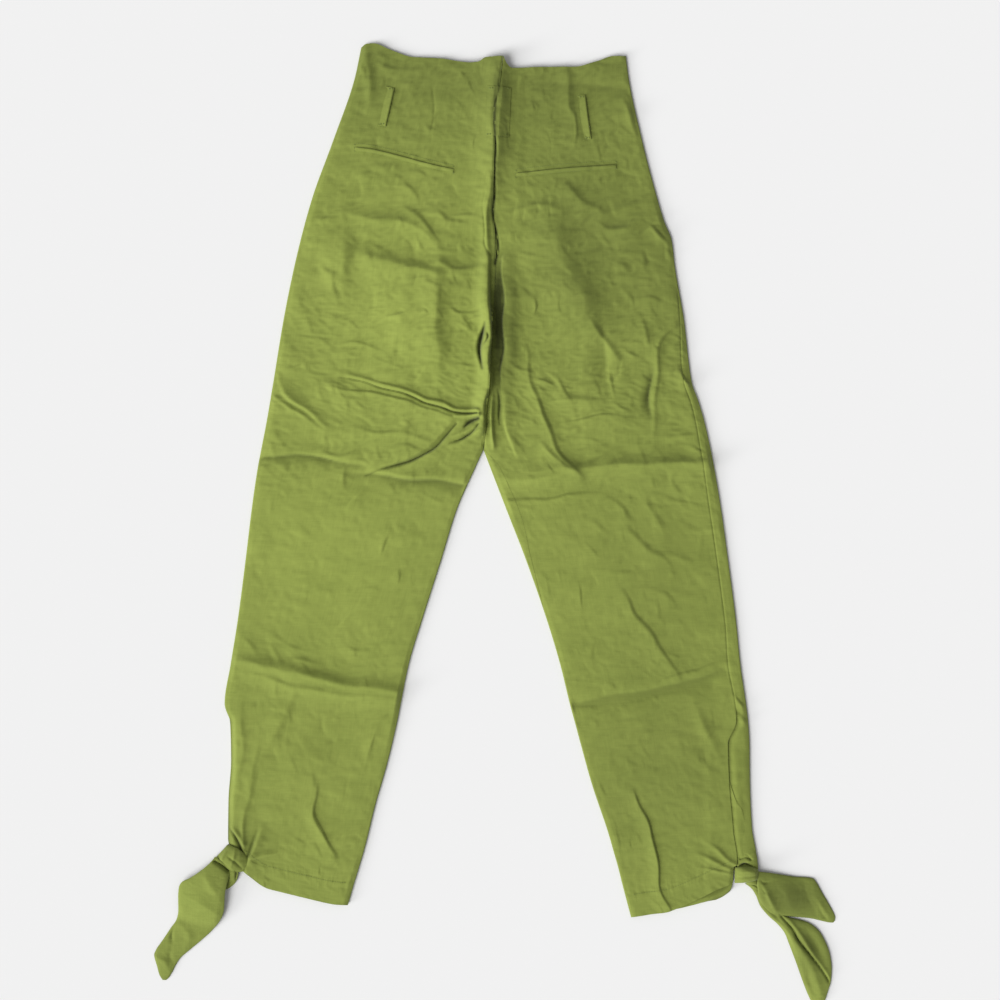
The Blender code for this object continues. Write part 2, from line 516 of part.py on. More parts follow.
# Pieces laid on, between and beside the panels
def strip_grid(strip, trees):
    """A strip laid on the panels: its ends lie on them, its middle may stand off."""
    middle = smooth_line(strip.line, strip.down)
    ways = np.gradient(middle, axis=0)
    ways /= np.linalg.norm(ways, axis=1)[:, None]
    grid = np.zeros((strip.down, strip.across, 3))
    for r, (centre, way) in enumerate(zip(middle, ways)):
        stand = strip.arch * math.sin(math.pi * r / (strip.down - 1))
        for c in range(strip.across):
            off = strip.width * (c / (strip.across - 1) - 0.5)
            x, y = centre[0] - way[1] * off, centre[1] + way[0] * off
            grid[r, c] = laid_point(trees, x, y, CLOTH + LAY_GAP)
            grid[r, c, 2] += stand
    return grid


def span_grid(spans, columns, side=1):
    """A flat piece between front and back; side -1 mirrors it to the left half."""
    table = np.array(spans, float)
    share = np.linspace(0, 1, columns)
    x = table[:, 1:2] + (table[:, 2:3] - table[:, 1:2]) * share
    y = np.repeat(table[:, :1], columns, axis=1)
    return np.stack([side * x, y, np.full(x.shape, PIECE_MID)], axis=2)


def zip_grid():
    half = [(-off, rise) for off, rise in ZIP_HALF] + [(off, rise) for off, rise in reversed(ZIP_HALF)]
    ys = np.linspace(ZIP_TOP, ZIP_FOOT, ZIP_ROWS)
    rows = [[(centre_x(y) + off, y, PIECE_MID + rise) for off, rise in half] for y in ys]
    return np.array(rows, float)


def tie_grid(rows):
    table = np.array(rows, float)
    share = np.linspace(0, 1, TIE_COLUMNS)
    x = table[:, :1] + (table[:, 2:3] - table[:, :1]) * share
    y = table[:, 1:2] + (table[:, 3:4] - table[:, 1:2]) * share
    crown = np.sin(math.pi * share) ** ROUNDNESS
    z = table[:, 5:6] + (table[:, 4:5] - table[:, 5:6]) * crown
    return np.stack([x, y, np.maximum(z, FLOOR_MID)], axis=2)


def knot(name, rings):
    """A loft of rings that stand on the surface, with a flat cap at each end."""
    bm = bmesh.new()
    centres = np.array([(r.x, r.y) for r in rings], float)
    ways = np.gradient(centres, axis=0)
    ways /= np.linalg.norm(ways, axis=1)[:, None]
    loops = []
    for ring, way in zip(rings, ways):
        loop = []
        for k in range(KNOT_SIDES):
            turn = 2 * math.pi * k / KNOT_SIDES
            across = ring.half_width * math.copysign(abs(math.cos(turn)) ** ROUNDNESS, math.cos(turn))
            rise = ring.height / 2 * (1 + math.copysign(abs(math.sin(turn)) ** ROUNDNESS, math.sin(turn)))
            point = (ring.x - way[1] * across, ring.y + way[0] * across, rise)
            loop.append(bm.verts.new(Vector(point) * MM))
        loops.append(loop)
    for near, far in zip(loops, loops[1:]):
        for k in range(KNOT_SIDES):
            following = (k + 1) % KNOT_SIDES
            bm.faces.new((near[k], near[following], far[following], far[k]))
    bm.faces.new(loops[0][::-1])
    bm.faces.new(loops[-1])
    bmesh.ops.recalc_face_normals(bm, faces=bm.faces)
    return add_object(name, bm, LINEN)


for old in list(bpy.data.objects):
    bpy.data.objects.remove(old)
parts = bpy.data.collections.new("linen_trousers")
bpy.context.scene.collection.children.link(parts)

grids = {"back_left": back_grid(LEFT), "back_right": back_grid(RIGHT)}
for panel_name, panel_grid in grids.items():
    cloth(panel_name, panel_grid)
cloth("front_left", front_grid(LEFT), even=False)
cloth("front_right", front_grid(RIGHT), even=False)

lying_on = [surface_of(grids["back_left"]), surface_of(grids["back_right"])]
for strip_name, strip in STRIPS.items():
    cloth(strip_name, strip_grid(strip, lying_on))

cloth("pocket_bag_left", span_grid(POCKET_BAG, 5, -1), LINEN_HIDDEN)
cloth("pocket_bag_right", span_grid(POCKET_BAG, 5), LINEN_HIDDEN)
cloth("slit_facing_right", span_grid(SLIT_FACING, 4), LINEN_HIDDEN)
cloth("fly_zip", zip_grid(), ZIP_TAPE)
cloth("tie_left_upper", tie_grid(TIE_LEFT_UPPER))
cloth("tie_left_lower", tie_grid(TIE_LEFT_LOWER))
cloth("tie_right_upper", tie_grid(TIE_RIGHT_UPPER))
cloth("tie_right_lower", tie_grid(TIE_RIGHT_LOWER))
knot("knot_left", KNOT_LEFT)
knot("knot_right", KNOT_RIGHT)
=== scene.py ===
"""Looks of linen trousers with knotted ankle ties, laid flat on their front with the back upwards.

X runs across the legs, +Y up to the waist and +Z up from the surface. Tables and sizes are in
millimetres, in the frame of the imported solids, and points become metres where a mesh is made.
"""

import math
from collections import namedtuple

import bmesh
import bpy
import numpy as np
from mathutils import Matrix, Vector, noise
from mathutils.bvhtree import BVHTree


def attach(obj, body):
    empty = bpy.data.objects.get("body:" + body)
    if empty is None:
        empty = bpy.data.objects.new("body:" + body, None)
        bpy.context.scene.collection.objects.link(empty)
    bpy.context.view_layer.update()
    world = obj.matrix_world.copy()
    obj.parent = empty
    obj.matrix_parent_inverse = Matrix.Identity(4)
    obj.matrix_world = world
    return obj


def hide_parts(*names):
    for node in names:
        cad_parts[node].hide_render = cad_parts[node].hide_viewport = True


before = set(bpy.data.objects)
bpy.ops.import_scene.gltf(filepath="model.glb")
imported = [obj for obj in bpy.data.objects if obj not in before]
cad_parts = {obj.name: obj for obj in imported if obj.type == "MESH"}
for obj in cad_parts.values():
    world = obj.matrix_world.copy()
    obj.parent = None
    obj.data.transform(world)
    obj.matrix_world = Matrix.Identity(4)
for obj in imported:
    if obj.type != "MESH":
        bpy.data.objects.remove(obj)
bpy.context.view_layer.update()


# --- Back panels ---------------------------------------------------------------------------------
# The two back panels, cut in one with the high waist from a plain-woven linen. They lie on top,
# joined to each other by the centre back seam and to the fronts round both side edges, and keep the
# creases of a garment that has been folded, worn and spread out again.

MM = 0.001
LINEN_THICKNESS = 0.7
SEAM_HALF = 0.12        # half of the groove between two joined panels
EDGE_RADIUS = 1.3       # bend of the cloth round a side edge
FLOOR_MID = 0.5         # height of the middle of cloth that lies on the surface
TOP_MID = 3.4           # the same of a back panel over a front panel
TOP_OVER_PIECE = 4.2    # the same where a hidden piece lies in between
ROLL_IN = 15.0          # how far in from a side edge the back panel has settled
SLIT_ROLL_IN = 8.0      # the same along an open slit
FOLD_CLEAR = 6.0        # how far in from a side edge a fold has its full height
SEAM_LAND = 1.2         # level strip of cloth beside the centre back seam
LOWEST_TOP = 1.9        # below this height the back panel is pressed together with the front panel
PRESSED = 0.6           # how much further down it can be pressed
HEM_DEEP = 28.0         # the turned hem of the legs
HALF_TURN = math.pi * EDGE_RADIUS
EDGE_TOP = FLOOR_MID + 2 * EDGE_RADIUS
CLIMB = 4.0             # lap of the front panel at which its seam lies on the top

# Edges of each half from waist to hem: the outer point is on the side edge, the inner one on the
# centre seam and then on the inseam. lap_out and lap_in are how far the front panel comes round
# onto the top at that edge; along the slit, lap_out is how far in the back panel's edge lies.
Row = namedtuple("Row", "out_x out_y in_x in_y lap_out lap_in slit", defaults=[0, 0, 0])
LEFT_HALF = [Row(*row) for row in (
    (-155, 549, 8, 538), (-163, 512, 5, 510), (-187, 443, -1, 443), (-212, 374, -3, 374),
    (-230, 306, 0, 306), (-244, 238, -3, 238), (-256, 165, -7, 165), (-264, 118, -11, 118),
    (-270, 87, -14.5, 87), (-274, 66, -24, 66), (-281, 18, -45, 18), (-288, -40, -63, -40),
    (-297, -109, -85, -109), (-305, -159, -100, -159), (-312, -205, -110, -208),
    (-306, -226, -114, -228, 0, 0, 1), (-305, -270, -125, -274, 0, 0, 1),
    (-308, -316, -139, -323, 0, 0, 1), (-308.5, -359, -150, -368, 0, 0, 1),
    (-306, -371, -157, -392, 0, 0, 1), (-297, -382, -164, -415, 0, 0, 1),
    (-293, -396, -170, -436, 0, 0, 1),
)]
RIGHT_HALF = [Row(*row) for row in (
    (149.5, 539, 8, 538), (153, 512, 5, 510), (168, 443, -1, 443), (186, 374, -3, 374),
    (194, 348, -2, 348), (202, 328, -1, 328), (206, 296, 0, 296), (216, 238, -3, 238, 4.5),
    (225, 165, -7, 165, 9), (233, 142, -9, 142, 9), (240, 118, -11, 118, 10),
    (247, 87, -14.5, 87, 11.5, 0.6), (251, 66, -6.5, 66, 12, 11), (259, 18, 12, 18, 13, 14),
    (267, -40, 34.5, -40, 12.5, 6), (276, -109, 58.5, -109, 12.5), (281, -159, 73.5, -159, 14),
    (287.5, -205, 85.5, -208, 12), (290, -226, 91, -228, 14, 0, 1), (291.5, -251, 98, -254, 25, 0, 1),
    (292, -295, 110, -297, 24, 0, 1), (294.5, -348, 128.5, -352, 22, 0, 1),
    (299.5, -380, 136, -378, 22.5, 0, 1), (289, -386.5, 140, -392, 12, 0, 1),
    (274.5, -392, 145, -412, 1, 0, 1), (273, -409, 155, -450, 1, 0, 1),
)]
CROTCH_Y = 87
CENTRE_LINE = [(row.in_x, row.in_y) for row in LEFT_HALF if row.in_y >= CROTCH_Y]

# How far the waist and hem edges leave the straight line between their corners: pairs of the share
# of the way from the outer corner to the inner one and the rise there, + outwards.
LEFT_WAIST = [(0, 0), (0.035, 4.5), (0.09, 5.6), (0.2, 0), (0.37, -7), (0.54, -6.5), (0.76, -9),
              (0.83, -7.5), (0.88, -2.5), (1, 0)]
RIGHT_WAIST = [(0, 0), (0.1, 0), (0.23, -5.5), (0.42, -12), (0.68, -12), (0.93, -13), (0.975, -8), (1, 0)]
FRONT_WAIST = [(0, 0), (0.1, -3), (0.4, -14), (1, -15)]
LEFT_HEM = [(0, 0), (0.08, 4), (0.19, 9.7), (0.25, 11), (0.36, 10), (0.6, 7.5), (0.85, 4.5), (1, 0)]
LEFT_FRONT_HEM = [(0, 0), (0.3, 8), (0.6, 5), (1, -2)]
RIGHT_HEM = [(0, 0), (0.06, 2), (0.16, 2.4), (0.3, 5.2), (0.62, 8.5), (0.8, 4.5), (1, 0)]
RIGHT_FRONT_HEM = [(0, 0), (0.035, 10), (0.16, 14.5), (0.27, 12), (0.4, 10.5), (0.53, 9), (1, -2)]
BOW_FADE = 150.0        # how far along the leg the bow of a waist or hem edge is felt

# Each half with its edges, how far in the front panel ends beside the open slit, the height of the
# back panel's edge along the slit and where the rolled edge of the front ends.
Half = namedtuple("Half", "side rows waist back_hem front_hem front_inset slit_edge_mid rolled_to")
LEFT = Half(-1, LEFT_HALF, LEFT_WAIST, LEFT_HEM, LEFT_FRONT_HEM, 12.0, FLOOR_MID, 0)
RIGHT = Half(1, RIGHT_HALF, RIGHT_WAIST, RIGHT_HEM, RIGHT_FRONT_HEM, 0.0, EDGE_TOP + 0.9, -384)

# Creases of the top layer: a line of points, the height at its start, middle and end, the width of
# its upper or right side and of its lower or left side, how crisp its crest is (1 crisp, 2 soft) and
# how deep a narrow furrow runs along its upper side.
Crease = namedtuple("Crease", "line start middle end upper lower crisp furrow", defaults=[0.0])
CREASES = [Crease(*crease) for crease in (
    # centre back: the ridge at the waist, the pleat beside the seam, the rolled edge and the deep gap
    ([(6, 541), (2, 490), (0, 430), (-5, 375)], 6, 8.5, 3.5, 9, 17, 1.7),
    ([(-7, 402), (-9, 369), (-12, 338), (-8, 308)], 1, 4.5, 3.5, 3, 6, 1.6),
    ([(-13, 384), (-14, 357), (-14, 328), (-5, 308)], -0.3, -1.4, -1.6, 0.9, 1, 1.6),
    ([(-8, 303), (-11, 277), (-9, 259), (-7, 239), (-8, 200), (-9, 165), (-13, 140), (-16, 112)],
     5, 16, 7, 2.2, 10, 2.2),
    ([(8, 303), (10, 259), (10, 213), (8, 179), (6, 154)], 4, 9, 2, 12, 1.6, 2.4),
    ([(-5, 154), (-4, 135), (-6, 110), (-3, 91)], 1, 6, 3, 1.8, 2.2, 1.6),
    ([(1, 156), (4, 135), (5, 117)], -1, -4, -1.5, 1.2, 1.2, 1.6),
    ([(7, 154), (9, 133), (13, 110), (21, 85)], 1, 4, 1.5, 8, 1.6, 1.8),
    ([(-18, 259), (-14, 239), (-18, 220)], 0.8, 1.5, 0.8, 1.8, 2.5, 1.4),
    ([(-14, 232), (-17, 218), (-18, 205), (-16, 181)], -3, -14, -3, 2, 2, 1.8),
    ([(-13, 224), (-10, 216), (-14, 206)], -1, -5, -1, 1.2, 1.3, 1.5),
    ([(4, 512), (2, 500), (-1, 484), (-1.6, 446), (-0.5, 427), (0, 409)], -0.5, -3, -2.5, 1.3, 1.2, 1.6),
    ([(0, 409), (-2.3, 386), (-2.8, 367), (0, 340), (1.6, 317), (0, 300)], -2.5, -4, -3.5, 1.4, 1.4, 1.6),
    # left seat
    ([(-175, 358), (-143, 352), (-113, 349), (-87, 340), (-69, 325)], 1.5, 4.7, 1.8, 6.4, 12, 1.3),
    ([(-105, 364), (-87, 352), (-74, 338), (-68, 328)], 0.9, 2.8, 0.9, 2.8, 8.8, 1.3, 0.42),
    ([(-95, 359), (-68, 359), (-53, 349), (-30, 344)], 0.8, 2.8, 1.2, 3.7, 11, 1.3, 0.42),
    ([(-48, 354), (-34, 355), (-21, 354)], 0.9, 2.2, 1.6, 2.3, 8.8, 1.3, 0.56),
    ([(-209, 354), (-195, 352), (-178, 352)], 0.8, 2.1, 0.6, 1.8, 8.8, 1.3, 0.56),
    ([(-175, 344), (-176, 305), (-177, 266)], 1.1, 4.5, 1.1, 9, 25, 1.8),
    ([(-154, 309), (-128, 303), (-99, 297), (-67, 288)], 3.9, 6.7, 5.6, 7.5, 26, 1.5),
    ([(-64, 301), (-44, 294), (-18, 296)], 3.4, 3.9, 2.2, 4, 10, 1.3, 0.3),
    ([(-187, 294), (-186, 277), (-183, 259)], 0.4, 1.6, 0.4, 1.7, 6.6, 1.3, 0.42),
    ([(-221, 260), (-202, 263), (-187, 264)], 0.4, 1.3, 0.4, 1.7, 6.6, 1.3, 0.28),
    ([(-129, 239), (-110, 242), (-94, 247)], 0.4, 1, 0.4, 1.8, 8.8, 1.3),
    ([(-68, 296), (-70, 259), (-68, 213), (-64, 172)], 1.5, 7, 1, 10, 42, 1.6),
    ([(-53, 251), (-41, 244), (-24, 243)], 0.6, 2, 0.6, 2, 8.8, 1.3, 0.42),
    ([(-47, 234), (-34, 229), (-29, 224)], 0.4, 1.3, 0.4, 1.8, 6.6, 1.3),
    # left thigh and crotch
    ([(-179, 175), (-151, 168), (-131, 163), (-110, 158), (-94, 152), (-79, 144), (-62, 140), (-44, 134),
      (-22, 133)], 1.1, 3.3, 4.2, 1.8, 5, 1.4, 0.5),
    ([(-177, 170), (-151, 164), (-132, 158), (-110, 154), (-95, 148), (-80, 140), (-63, 135), (-44, 131),
      (-22, 129)], -0.9, -3.7, -4.4, 0.9, 1, 1.5),
    ([(-191, 163), (-174, 156), (-140, 151), (-120, 147), (-103, 144), (-83, 134), (-53, 126)],
     1.1, 2.6, 2, 1.6, 14, 1.3, 0.6),
    ([(-184, 150), (-168, 146), (-150, 144)], 0.4, 1, 0.3, 2.5, 5, 1.3),
    ([(-232, 217), (-205, 214), (-191, 212)], 0.3, 0.8, 0.3, 2, 4, 1.3),
    ([(-177, 208), (-166, 210), (-143, 204), (-128, 200)], 0.4, 1.3, 0.6, 2.2, 6, 1.3, 0.2),
    ([(-143, 195), (-122, 185), (-107, 179)], 0.3, 1, 0.3, 2, 4, 1.3),
    ([(-253, 172), (-240, 150), (-217, 133), (-194, 113)], 1.3, 3.8, 1.8, 4.5, 1.8, 1.2),
    ([(-257, 151), (-226, 129), (-195, 109)], 1, 2.4, 1.1, 1.9, 3.2, 1.2),
    ([(-276, 73), (-260, 79), (-230, 80), (-199, 77), (-178, 73), (-152, 69)], -2, -3.4, -1.4, 2, 7, 1.3),
    ([(-275, 77), (-260, 83), (-230, 84), (-199, 81), (-178, 77), (-152, 73)], 0.6, 1.1, 0.4, 8, 2.2, 1.3),
    ([(-166, 65), (-128, 60), (-95, 56), (-62, 54), (-33, 50)], 0.3, 1.2, 0.9, 8, 2.2, 1.3),
    ([(-150, 57), (-131, 64.5), (-113, 70.5), (-89.5, 78), (-71.5, 90), (-56.5, 105), (-46, 117)],
     -1, -4.5, -3, 1.2, 1.1, 1.6),
    ([(-138, 66), (-114, 74), (-92, 82), (-75, 94), (-61, 108), (-52, 118)], 1.1, 3.3, 1.8, 12, 1.5, 1.5),
    ([(-128, 62), (-103, 70), (-82, 79), (-65, 92), (-53, 103)], 1.7, 3.7, 1.4, 1.4, 14, 1.5),
    ([(-56, 91), (-41, 94), (-30, 101), (-20, 110)], 1, 3, 3, 1.8, 6, 1.4),
    ([(-37, 113), (-30, 119), (-21, 122)], -3, -7, -6, 1.9, 1.6, 1.7),
    ([(-46, 127), (-32, 126), (-20, 127)], 2.2, 4.4, 5.5, 1.6, 1.8, 1.5),
    ([(-54, 95), (-41, 98), (-30, 105), (-21, 116)], -1, -5, -3, 1.1, 1.1, 1.7),
    ([(-51, 102), (-38, 106), (-25, 113)], 1, 3, 2, 2, 2, 1.5),
    ([(-159, 111), (-139, 107), (-120, 106), (-105, 106)], 0.6, 1.8, 0.7, 2.2, 5, 1.3, 0.4),
    ([(-105, 105), (-90, 101), (-78, 97)], 0.6, 1.1, 0.4, 2, 5, 1.3),
    ([(-205, 89), (-192, 82), (-177, 80), (-162, 82)], 0.4, 1.4, 0.4, 2, 5, 1.3, 0.4),
    ([(-120, 91), (-106, 91), (-94, 87), (-83, 83)], 0.4, 1.5, 0.4, 2.5, 7, 1.3, 0.3),
    ([(-173, 66), (-174, 55), (-175, 44)], 0.6, 1.5, 0.4, 1.8, 3.5, 1.3, 0.5),
    ([(-172, 21), (-161, 32), (-152, 41)], 0.3, 1.3, 0.4, 2, 4, 1.3, 0.4),
    ([(-166, 61), (-128, 56), (-95, 52), (-62, 50), (-33, 46)], -0.8, -3.6, -2.6, 2.4, 8, 1.3),
    ([(-128, 60), (-97, 57), (-64, 55)], 0.6, 1.3, 0.6, 3, 5, 1.3),
    ([(-256, 30), (-257, 22), (-259, 13)], 0.4, 1.1, 0.3, 1.6, 3, 1.3, 0.3),
    ([(-251, 102), (-244, 91), (-239, 87)], 0.3, 0.9, 0.3, 2, 3, 1.3, 0.2),
    ([(-260, 98), (-255, 87), (-252, 73)], 0.4, 1.1, 0.4, 2, 3, 1.3, 0.2),
    # right seat and thigh
    ([(106, 241), (115, 227), (126, 209), (145, 185)], 1, 4.2, 1.3, 5, 13, 1.2, 0.6),
    ([(122, 234), (123, 208), (126, 181), (132, 154)], -1, -4.5, -1.5, 5.5, 14, 1.6),
    ([(33, 210), (40, 162), (52, 133), (62, 105), (76, 78), (94, 60)], 1, 4, 2.6, 3.2, 12, 1.25, 0.7),
    ([(10, 260), (28, 260), (48, 260)], 1.7, 3.2, 0.9, 7.4, 12, 1.2),
    ([(43, 258), (45, 250), (44, 243)], 0.9, 2, 0.7, 1.7, 5.5, 1.3, 0.56),
    ([(16, 185), (28, 178), (40, 175)], 0.7, 1.7, 0.7, 1.8, 7.7, 1.3),
    ([(47, 167), (57, 164), (69, 157)], 0.7, 1.7, 0.4, 1.8, 8.8, 1.3, 0.28),
    ([(69, 170), (77, 156), (87, 142)], 0.7, 2, 0.7, 2.3, 8.8, 1.3, 0.28),
    ([(60, 141), (91, 144), (120, 145)], 1.3, 2.6, 0.9, 4.6, 12, 1.3),
    ([(130, 181), (133, 165), (135, 148)], 0.7, 2, 0.7, 1.8, 6.6, 1.3, 0.42),
    ([(74, 118), (102, 122), (123, 126), (145, 125)], 0.7, 1.8, 0.7, 1.8, 11, 1.3, 0.42),
    ([(85, 99), (108, 98), (122, 94)], 0.4, 1.3, 0.4, 1.7, 6.6, 1.3, 0.28),
    ([(48, 97), (60, 85), (74, 71)], 0.9, 3, 1.7, 4.6, 11, 1.3, 0.28),
    ([(39, 62), (91, 66), (140, 69), (184, 71), (241, 72)], 2.4, 7, 7, 7.5, 14, 1.3),
    ([(14, 53), (39, 53), (64, 56), (87, 62)], 2.9, 5.1, 2.9, 8.3, 10, 1.3),
    ([(5, 28), (52, 29), (74, 33), (87, 36), (120, 36)], 1.7, 2.5, 0.9, 1.7, 12, 1.3, 0.7),
    ([(206, 229), (194, 221), (187, 204), (185, 177), (183, 144), (180, 103)],
     1.3, 2.6, 1, 1.7, 5.7, 1.4, 0.35),
    ([(179, 179), (175, 150), (178, 124)], -1, -3.9, -1, 2.8, 5, 1.4),
    ([(167, 239), (172, 219), (177, 204)], 0.7, 2, 0.7, 1.8, 8.8, 1.3, 0.28),
    ([(145, 202), (156, 196), (167, 191)], 0.4, 1.6, 0.4, 1.8, 6.6, 1.3),
    ([(162, 256), (175, 261), (183, 260), (190, 256)], 0.4, 1.6, 0.4, 1.8, 6.6, 1.3, 0.28),
    ([(212, 177), (217, 166), (229, 159)], 1.7, 3.6, 2, 2, 6.6, 1.3, 0.98),
    ([(189, 102), (212, 103), (235, 103)], 0.4, 1.6, 0.4, 2.8, 8.8, 1.3, 0.28),
    ([(223, 91), (231, 86), (238, 83)], 0.9, 2, 0.9, 1.8, 6.6, 1.3, 0.56),
    ([(12, 358), (32, 364), (54, 367), (74, 363)], 0.8, 2.6, 1, 3, 12, 1.4),
    ([(80, 390), (90, 381), (101, 371), (120, 359)], 1, 3, 1.5, 3.5, 12, 1.4),
    ([(120, 357), (137, 362), (154, 367), (172, 371)], 1.5, 3, 1, 4, 10, 1.4),
    ([(66, 351), (69, 328), (74, 301)], 1.5, 6, 2, 16, 34, 1.6),
    ([(83, 298), (90, 277), (101, 257), (113, 241)], 1.5, 6.5, 3, 16, 34, 1.6),
    ([(117, 347), (133, 340), (154, 342), (171, 354)], 1, 3, 1, 3, 8, 1.4),
    ([(21, 315), (39, 310), (60, 312)], 0.5, 2, 0.5, 2.5, 10, 1.4),
    # right leg to the knee
    ([(126, 33), (143, 21), (152, 9), (161, 2)], 0.4, 1.5, 0.5, 3.7, 8.8, 1.3, 0.42),
    ([(168, 41), (175, 22), (184, 5), (193, -11)], 0.4, 1.7, 0.6, 4.6, 8.8, 1.3, 0.28),
    ([(145, 6), (159, -13), (177, -28), (194, -40), (202, -53)], 0.4, 1.5, 0.5, 3.7, 8.8, 1.3, 0.42),
    ([(101, -19), (110, -28), (116, -35)], 0.2, 0.9, 0.2, 1.8, 8.8, 1.3, 0.42),
    ([(106, 6), (120, -3), (131, -12)], 0.2, 0.8, 0.2, 2.8, 8.8, 1.3, 0.14),
    ([(120, -52), (150, -53), (168, -59)], 0.2, 0.9, 0.2, 1.7, 8.8, 1.3, 0.56),
    ([(141, -70), (151, -86), (159, -102), (177, -124), (193, -148), (208, -173)],
     0.5, 2.1, 0.9, 2.9, 11, 1.25, 0.7),
    ([(166, -72), (183, -75), (198, -81)], 0.2, 0.6, 0.2, 1.8, 6.6, 1.3, 0.28),
    ([(190, -74), (202, -86), (207, -95)], 0.2, 0.9, 0.2, 2.3, 6.6, 1.3, 0.28),
    ([(94, -68), (97, -80), (99, -94)], 0.2, 0.9, 0.2, 1.7, 6.6, 1.3, 0.42),
    ([(177, -32), (198, -34), (223, -40), (238, -42)], 0.2, 0.8, 0.2, 2.3, 8.8, 1.3, 0.14),
    ([(223, -3), (241, -4), (262, -3)], 0.4, 0.9, 0.6, 1.7, 6.6, 1.3, 0.42),
    ([(193, 33), (216, 27), (239, 19)], 0.2, 0.8, 0.2, 1.8, 8.8, 1.3, 0.28),
    ([(86, -208), (131, -199), (177, -191), (223, -181), (262, -167)], -3, -5.4, -3.4, 4.6, 8, 1.4),
    ([(184, -182), (207, -173), (235, -165), (266, -156)], 0.5, 1.4, 0.6, 1.8, 8.8, 1.3, 0.56),
    ([(87, -209), (102, -210), (120, -210)], 0.5, 1.2, 0.4, 1.8, 8.8, 1.3, 0.56),
    ([(274, -197), (281, -204), (288, -211)], 0.6, 1.6, 0.7, 1.6, 3, 1.4, 0.6),
    ([(277, -216), (284, -224), (292, -233)], 0.7, 1.7, 1, 1.8, 3, 1.4, 0.6),
    # left leg to the knee
    ([(-124, -9), (-128, -22), (-132, -35)], 0.3, 1.2, 0.3, 1.7, 6.6, 1.3, 0.42),
    ([(-112, -50), (-112, -58), (-114, -67)], 0.3, 1.1, 0.3, 1.5, 6.6, 1.3, 0.42),
    ([(-184, -119), (-174, -109), (-166, -98)], 0.3, 1.2, 0.3, 1.8, 6.6, 1.3, 0.28),
    ([(-306, -154), (-276, -157), (-248, -164), (-212, -174), (-168, -183), (-108, -191)],
     2.8, 7.2, 5.5, 8, 16, 1.3, 0.3),
    ([(-291, -128), (-283, -136), (-277, -144)], 0.4, 1.4, 0.4, 2, 8, 1.3),
    ([(-262, -122), (-254, -128), (-246, -133)], 0.3, 1.1, 0.3, 1.6, 8, 1.3),
    ([(-245, -136), (-230, -141), (-214, -143)], 0.3, 1.1, 0.3, 1.6, 8, 1.3),
    ([(-237, -155), (-223, -154), (-208, -158)], 0.7, 2.2, 0.7, 2, 9, 1.3),
    ([(-175, -137), (-161, -144), (-143, -143)], 0.3, 1.2, 0.3, 1.6, 8, 1.3),
    ([(-289, -168), (-254, -178), (-214, -189), (-168, -195), (-113, -200)],
     0.8, 2.2, 1.2, 3.7, 12, 1.3, 0.28),
    ([(-227, -186), (-248, -226), (-269, -267)], 0.7, 2, 0.4, 5.5, 12, 1.7),
    ([(-294, -205), (-291, -247), (-296, -304)], 0.5, 1.3, 0.6, 3, 8, 1.4),
    ([(-273, -249), (-282, -300), (-291, -336)], 0.5, 1.6, 1, 4, 8, 1.4, 0.2),
    ([(-136, -226), (-143, -252), (-152, -281)], 0.3, 1, 0.3, 3, 6, 1.4),
    # hems and knots
    ([(227, -203), (240, -233), (256, -267)], 0.4, 1.8, 0.4, 4.6, 6, 1.6),
    ([(159, -310), (171, -334), (183, -373), (187, -412), (199, -440)], 1.4, 3.4, 1.6, 1.6, 8, 1.5, 0.7),
    ([(227, -377), (251, -386), (275, -396)], 0.8, 2.6, 2, 3.2, 4, 1.4, 0.28),
    ([(235, -394), (255, -397), (275, -400)], 0.5, 1.8, 1.6, 2.3, 3, 1.4, 0.28),
    ([(241, -364), (260, -378), (276, -389)], 0.4, 2.1, 1.8, 2.8, 3.5, 1.4, 0.28),
    ([(-207, -302), (-209, -329), (-199, -354), (-186, -378)], 1.4, 3, 1.5, 1.5, 9, 1.5, 0.6),
    ([(-308, -346), (-302, -352), (-297, -364), (-293, -378)], -0.6, -3.2, -3.5, 1.7, 1.5, 1.6),
    ([(-304, -343), (-297, -354), (-291, -367)], 0.5, 2.6, 2, 2.5, 2, 1.5),
    ([(-273, -348), (-282, -369), (-288, -387)], -0.3, -2.6, -2.6, 1.6, 1.8, 1.6),
    ([(-268, -346), (-276, -366), (-283, -385)], 0.4, 2.2, 1.6, 6, 2, 1.5),
    ([(-246, -375), (-264, -378), (-283, -381)], 0.4, 2, 1.7, 2.3, 3, 1.4, 0.28),
    ([(-288, -329), (-290, -352), (-291, -373)], 0.4, 2, 1.7, 2.3, 3, 1.5, 0.14),
    # waist and pockets
    ([(56, 508), (97, 505), (131, 504), (152, 501)], -1, -2.2, -1.4, 5, 9, 1.6),
    ([(-131, 519), (-120, 517), (-108, 520)], 0.4, 1.6, 0.4, 2.5, 6, 1.4),
    ([(-136, 531), (-120, 524), (-87, 520)], 0.6, 1.8, 0.6, 2.8, 5, 1.4, 0.28),
    ([(-72, 503), (-72, 472), (-74, 441)], -0.4, -0.8, -0.1, 1.1, 1.2, 1.5),
    ([(80, 526), (83, 495), (87, 466)], 1.1, 2.8, 0.8, 4.6, 8, 1.7),
    ([(90, 480), (91, 457), (90, 436)], 0.3, 1.3, 0.3, 1.8, 3, 1.4, 0.28),
    ([(-148, 545), (-146, 512), (-144, 482)], 1.1, 2.8, 0.7, 4.6, 7, 1.6),
    ([(145, 489), (154, 469), (161, 446)], 0.7, 2.5, 0.7, 3.7, 5, 1.4, 0.28),
    ([(175, 344), (185, 333), (198, 321)], 0.7, 3.1, 1.4, 2.8, 4, 1.3, 0.84),
)]
CREASE_REACH = 3.5      # widths at which a crease has died away
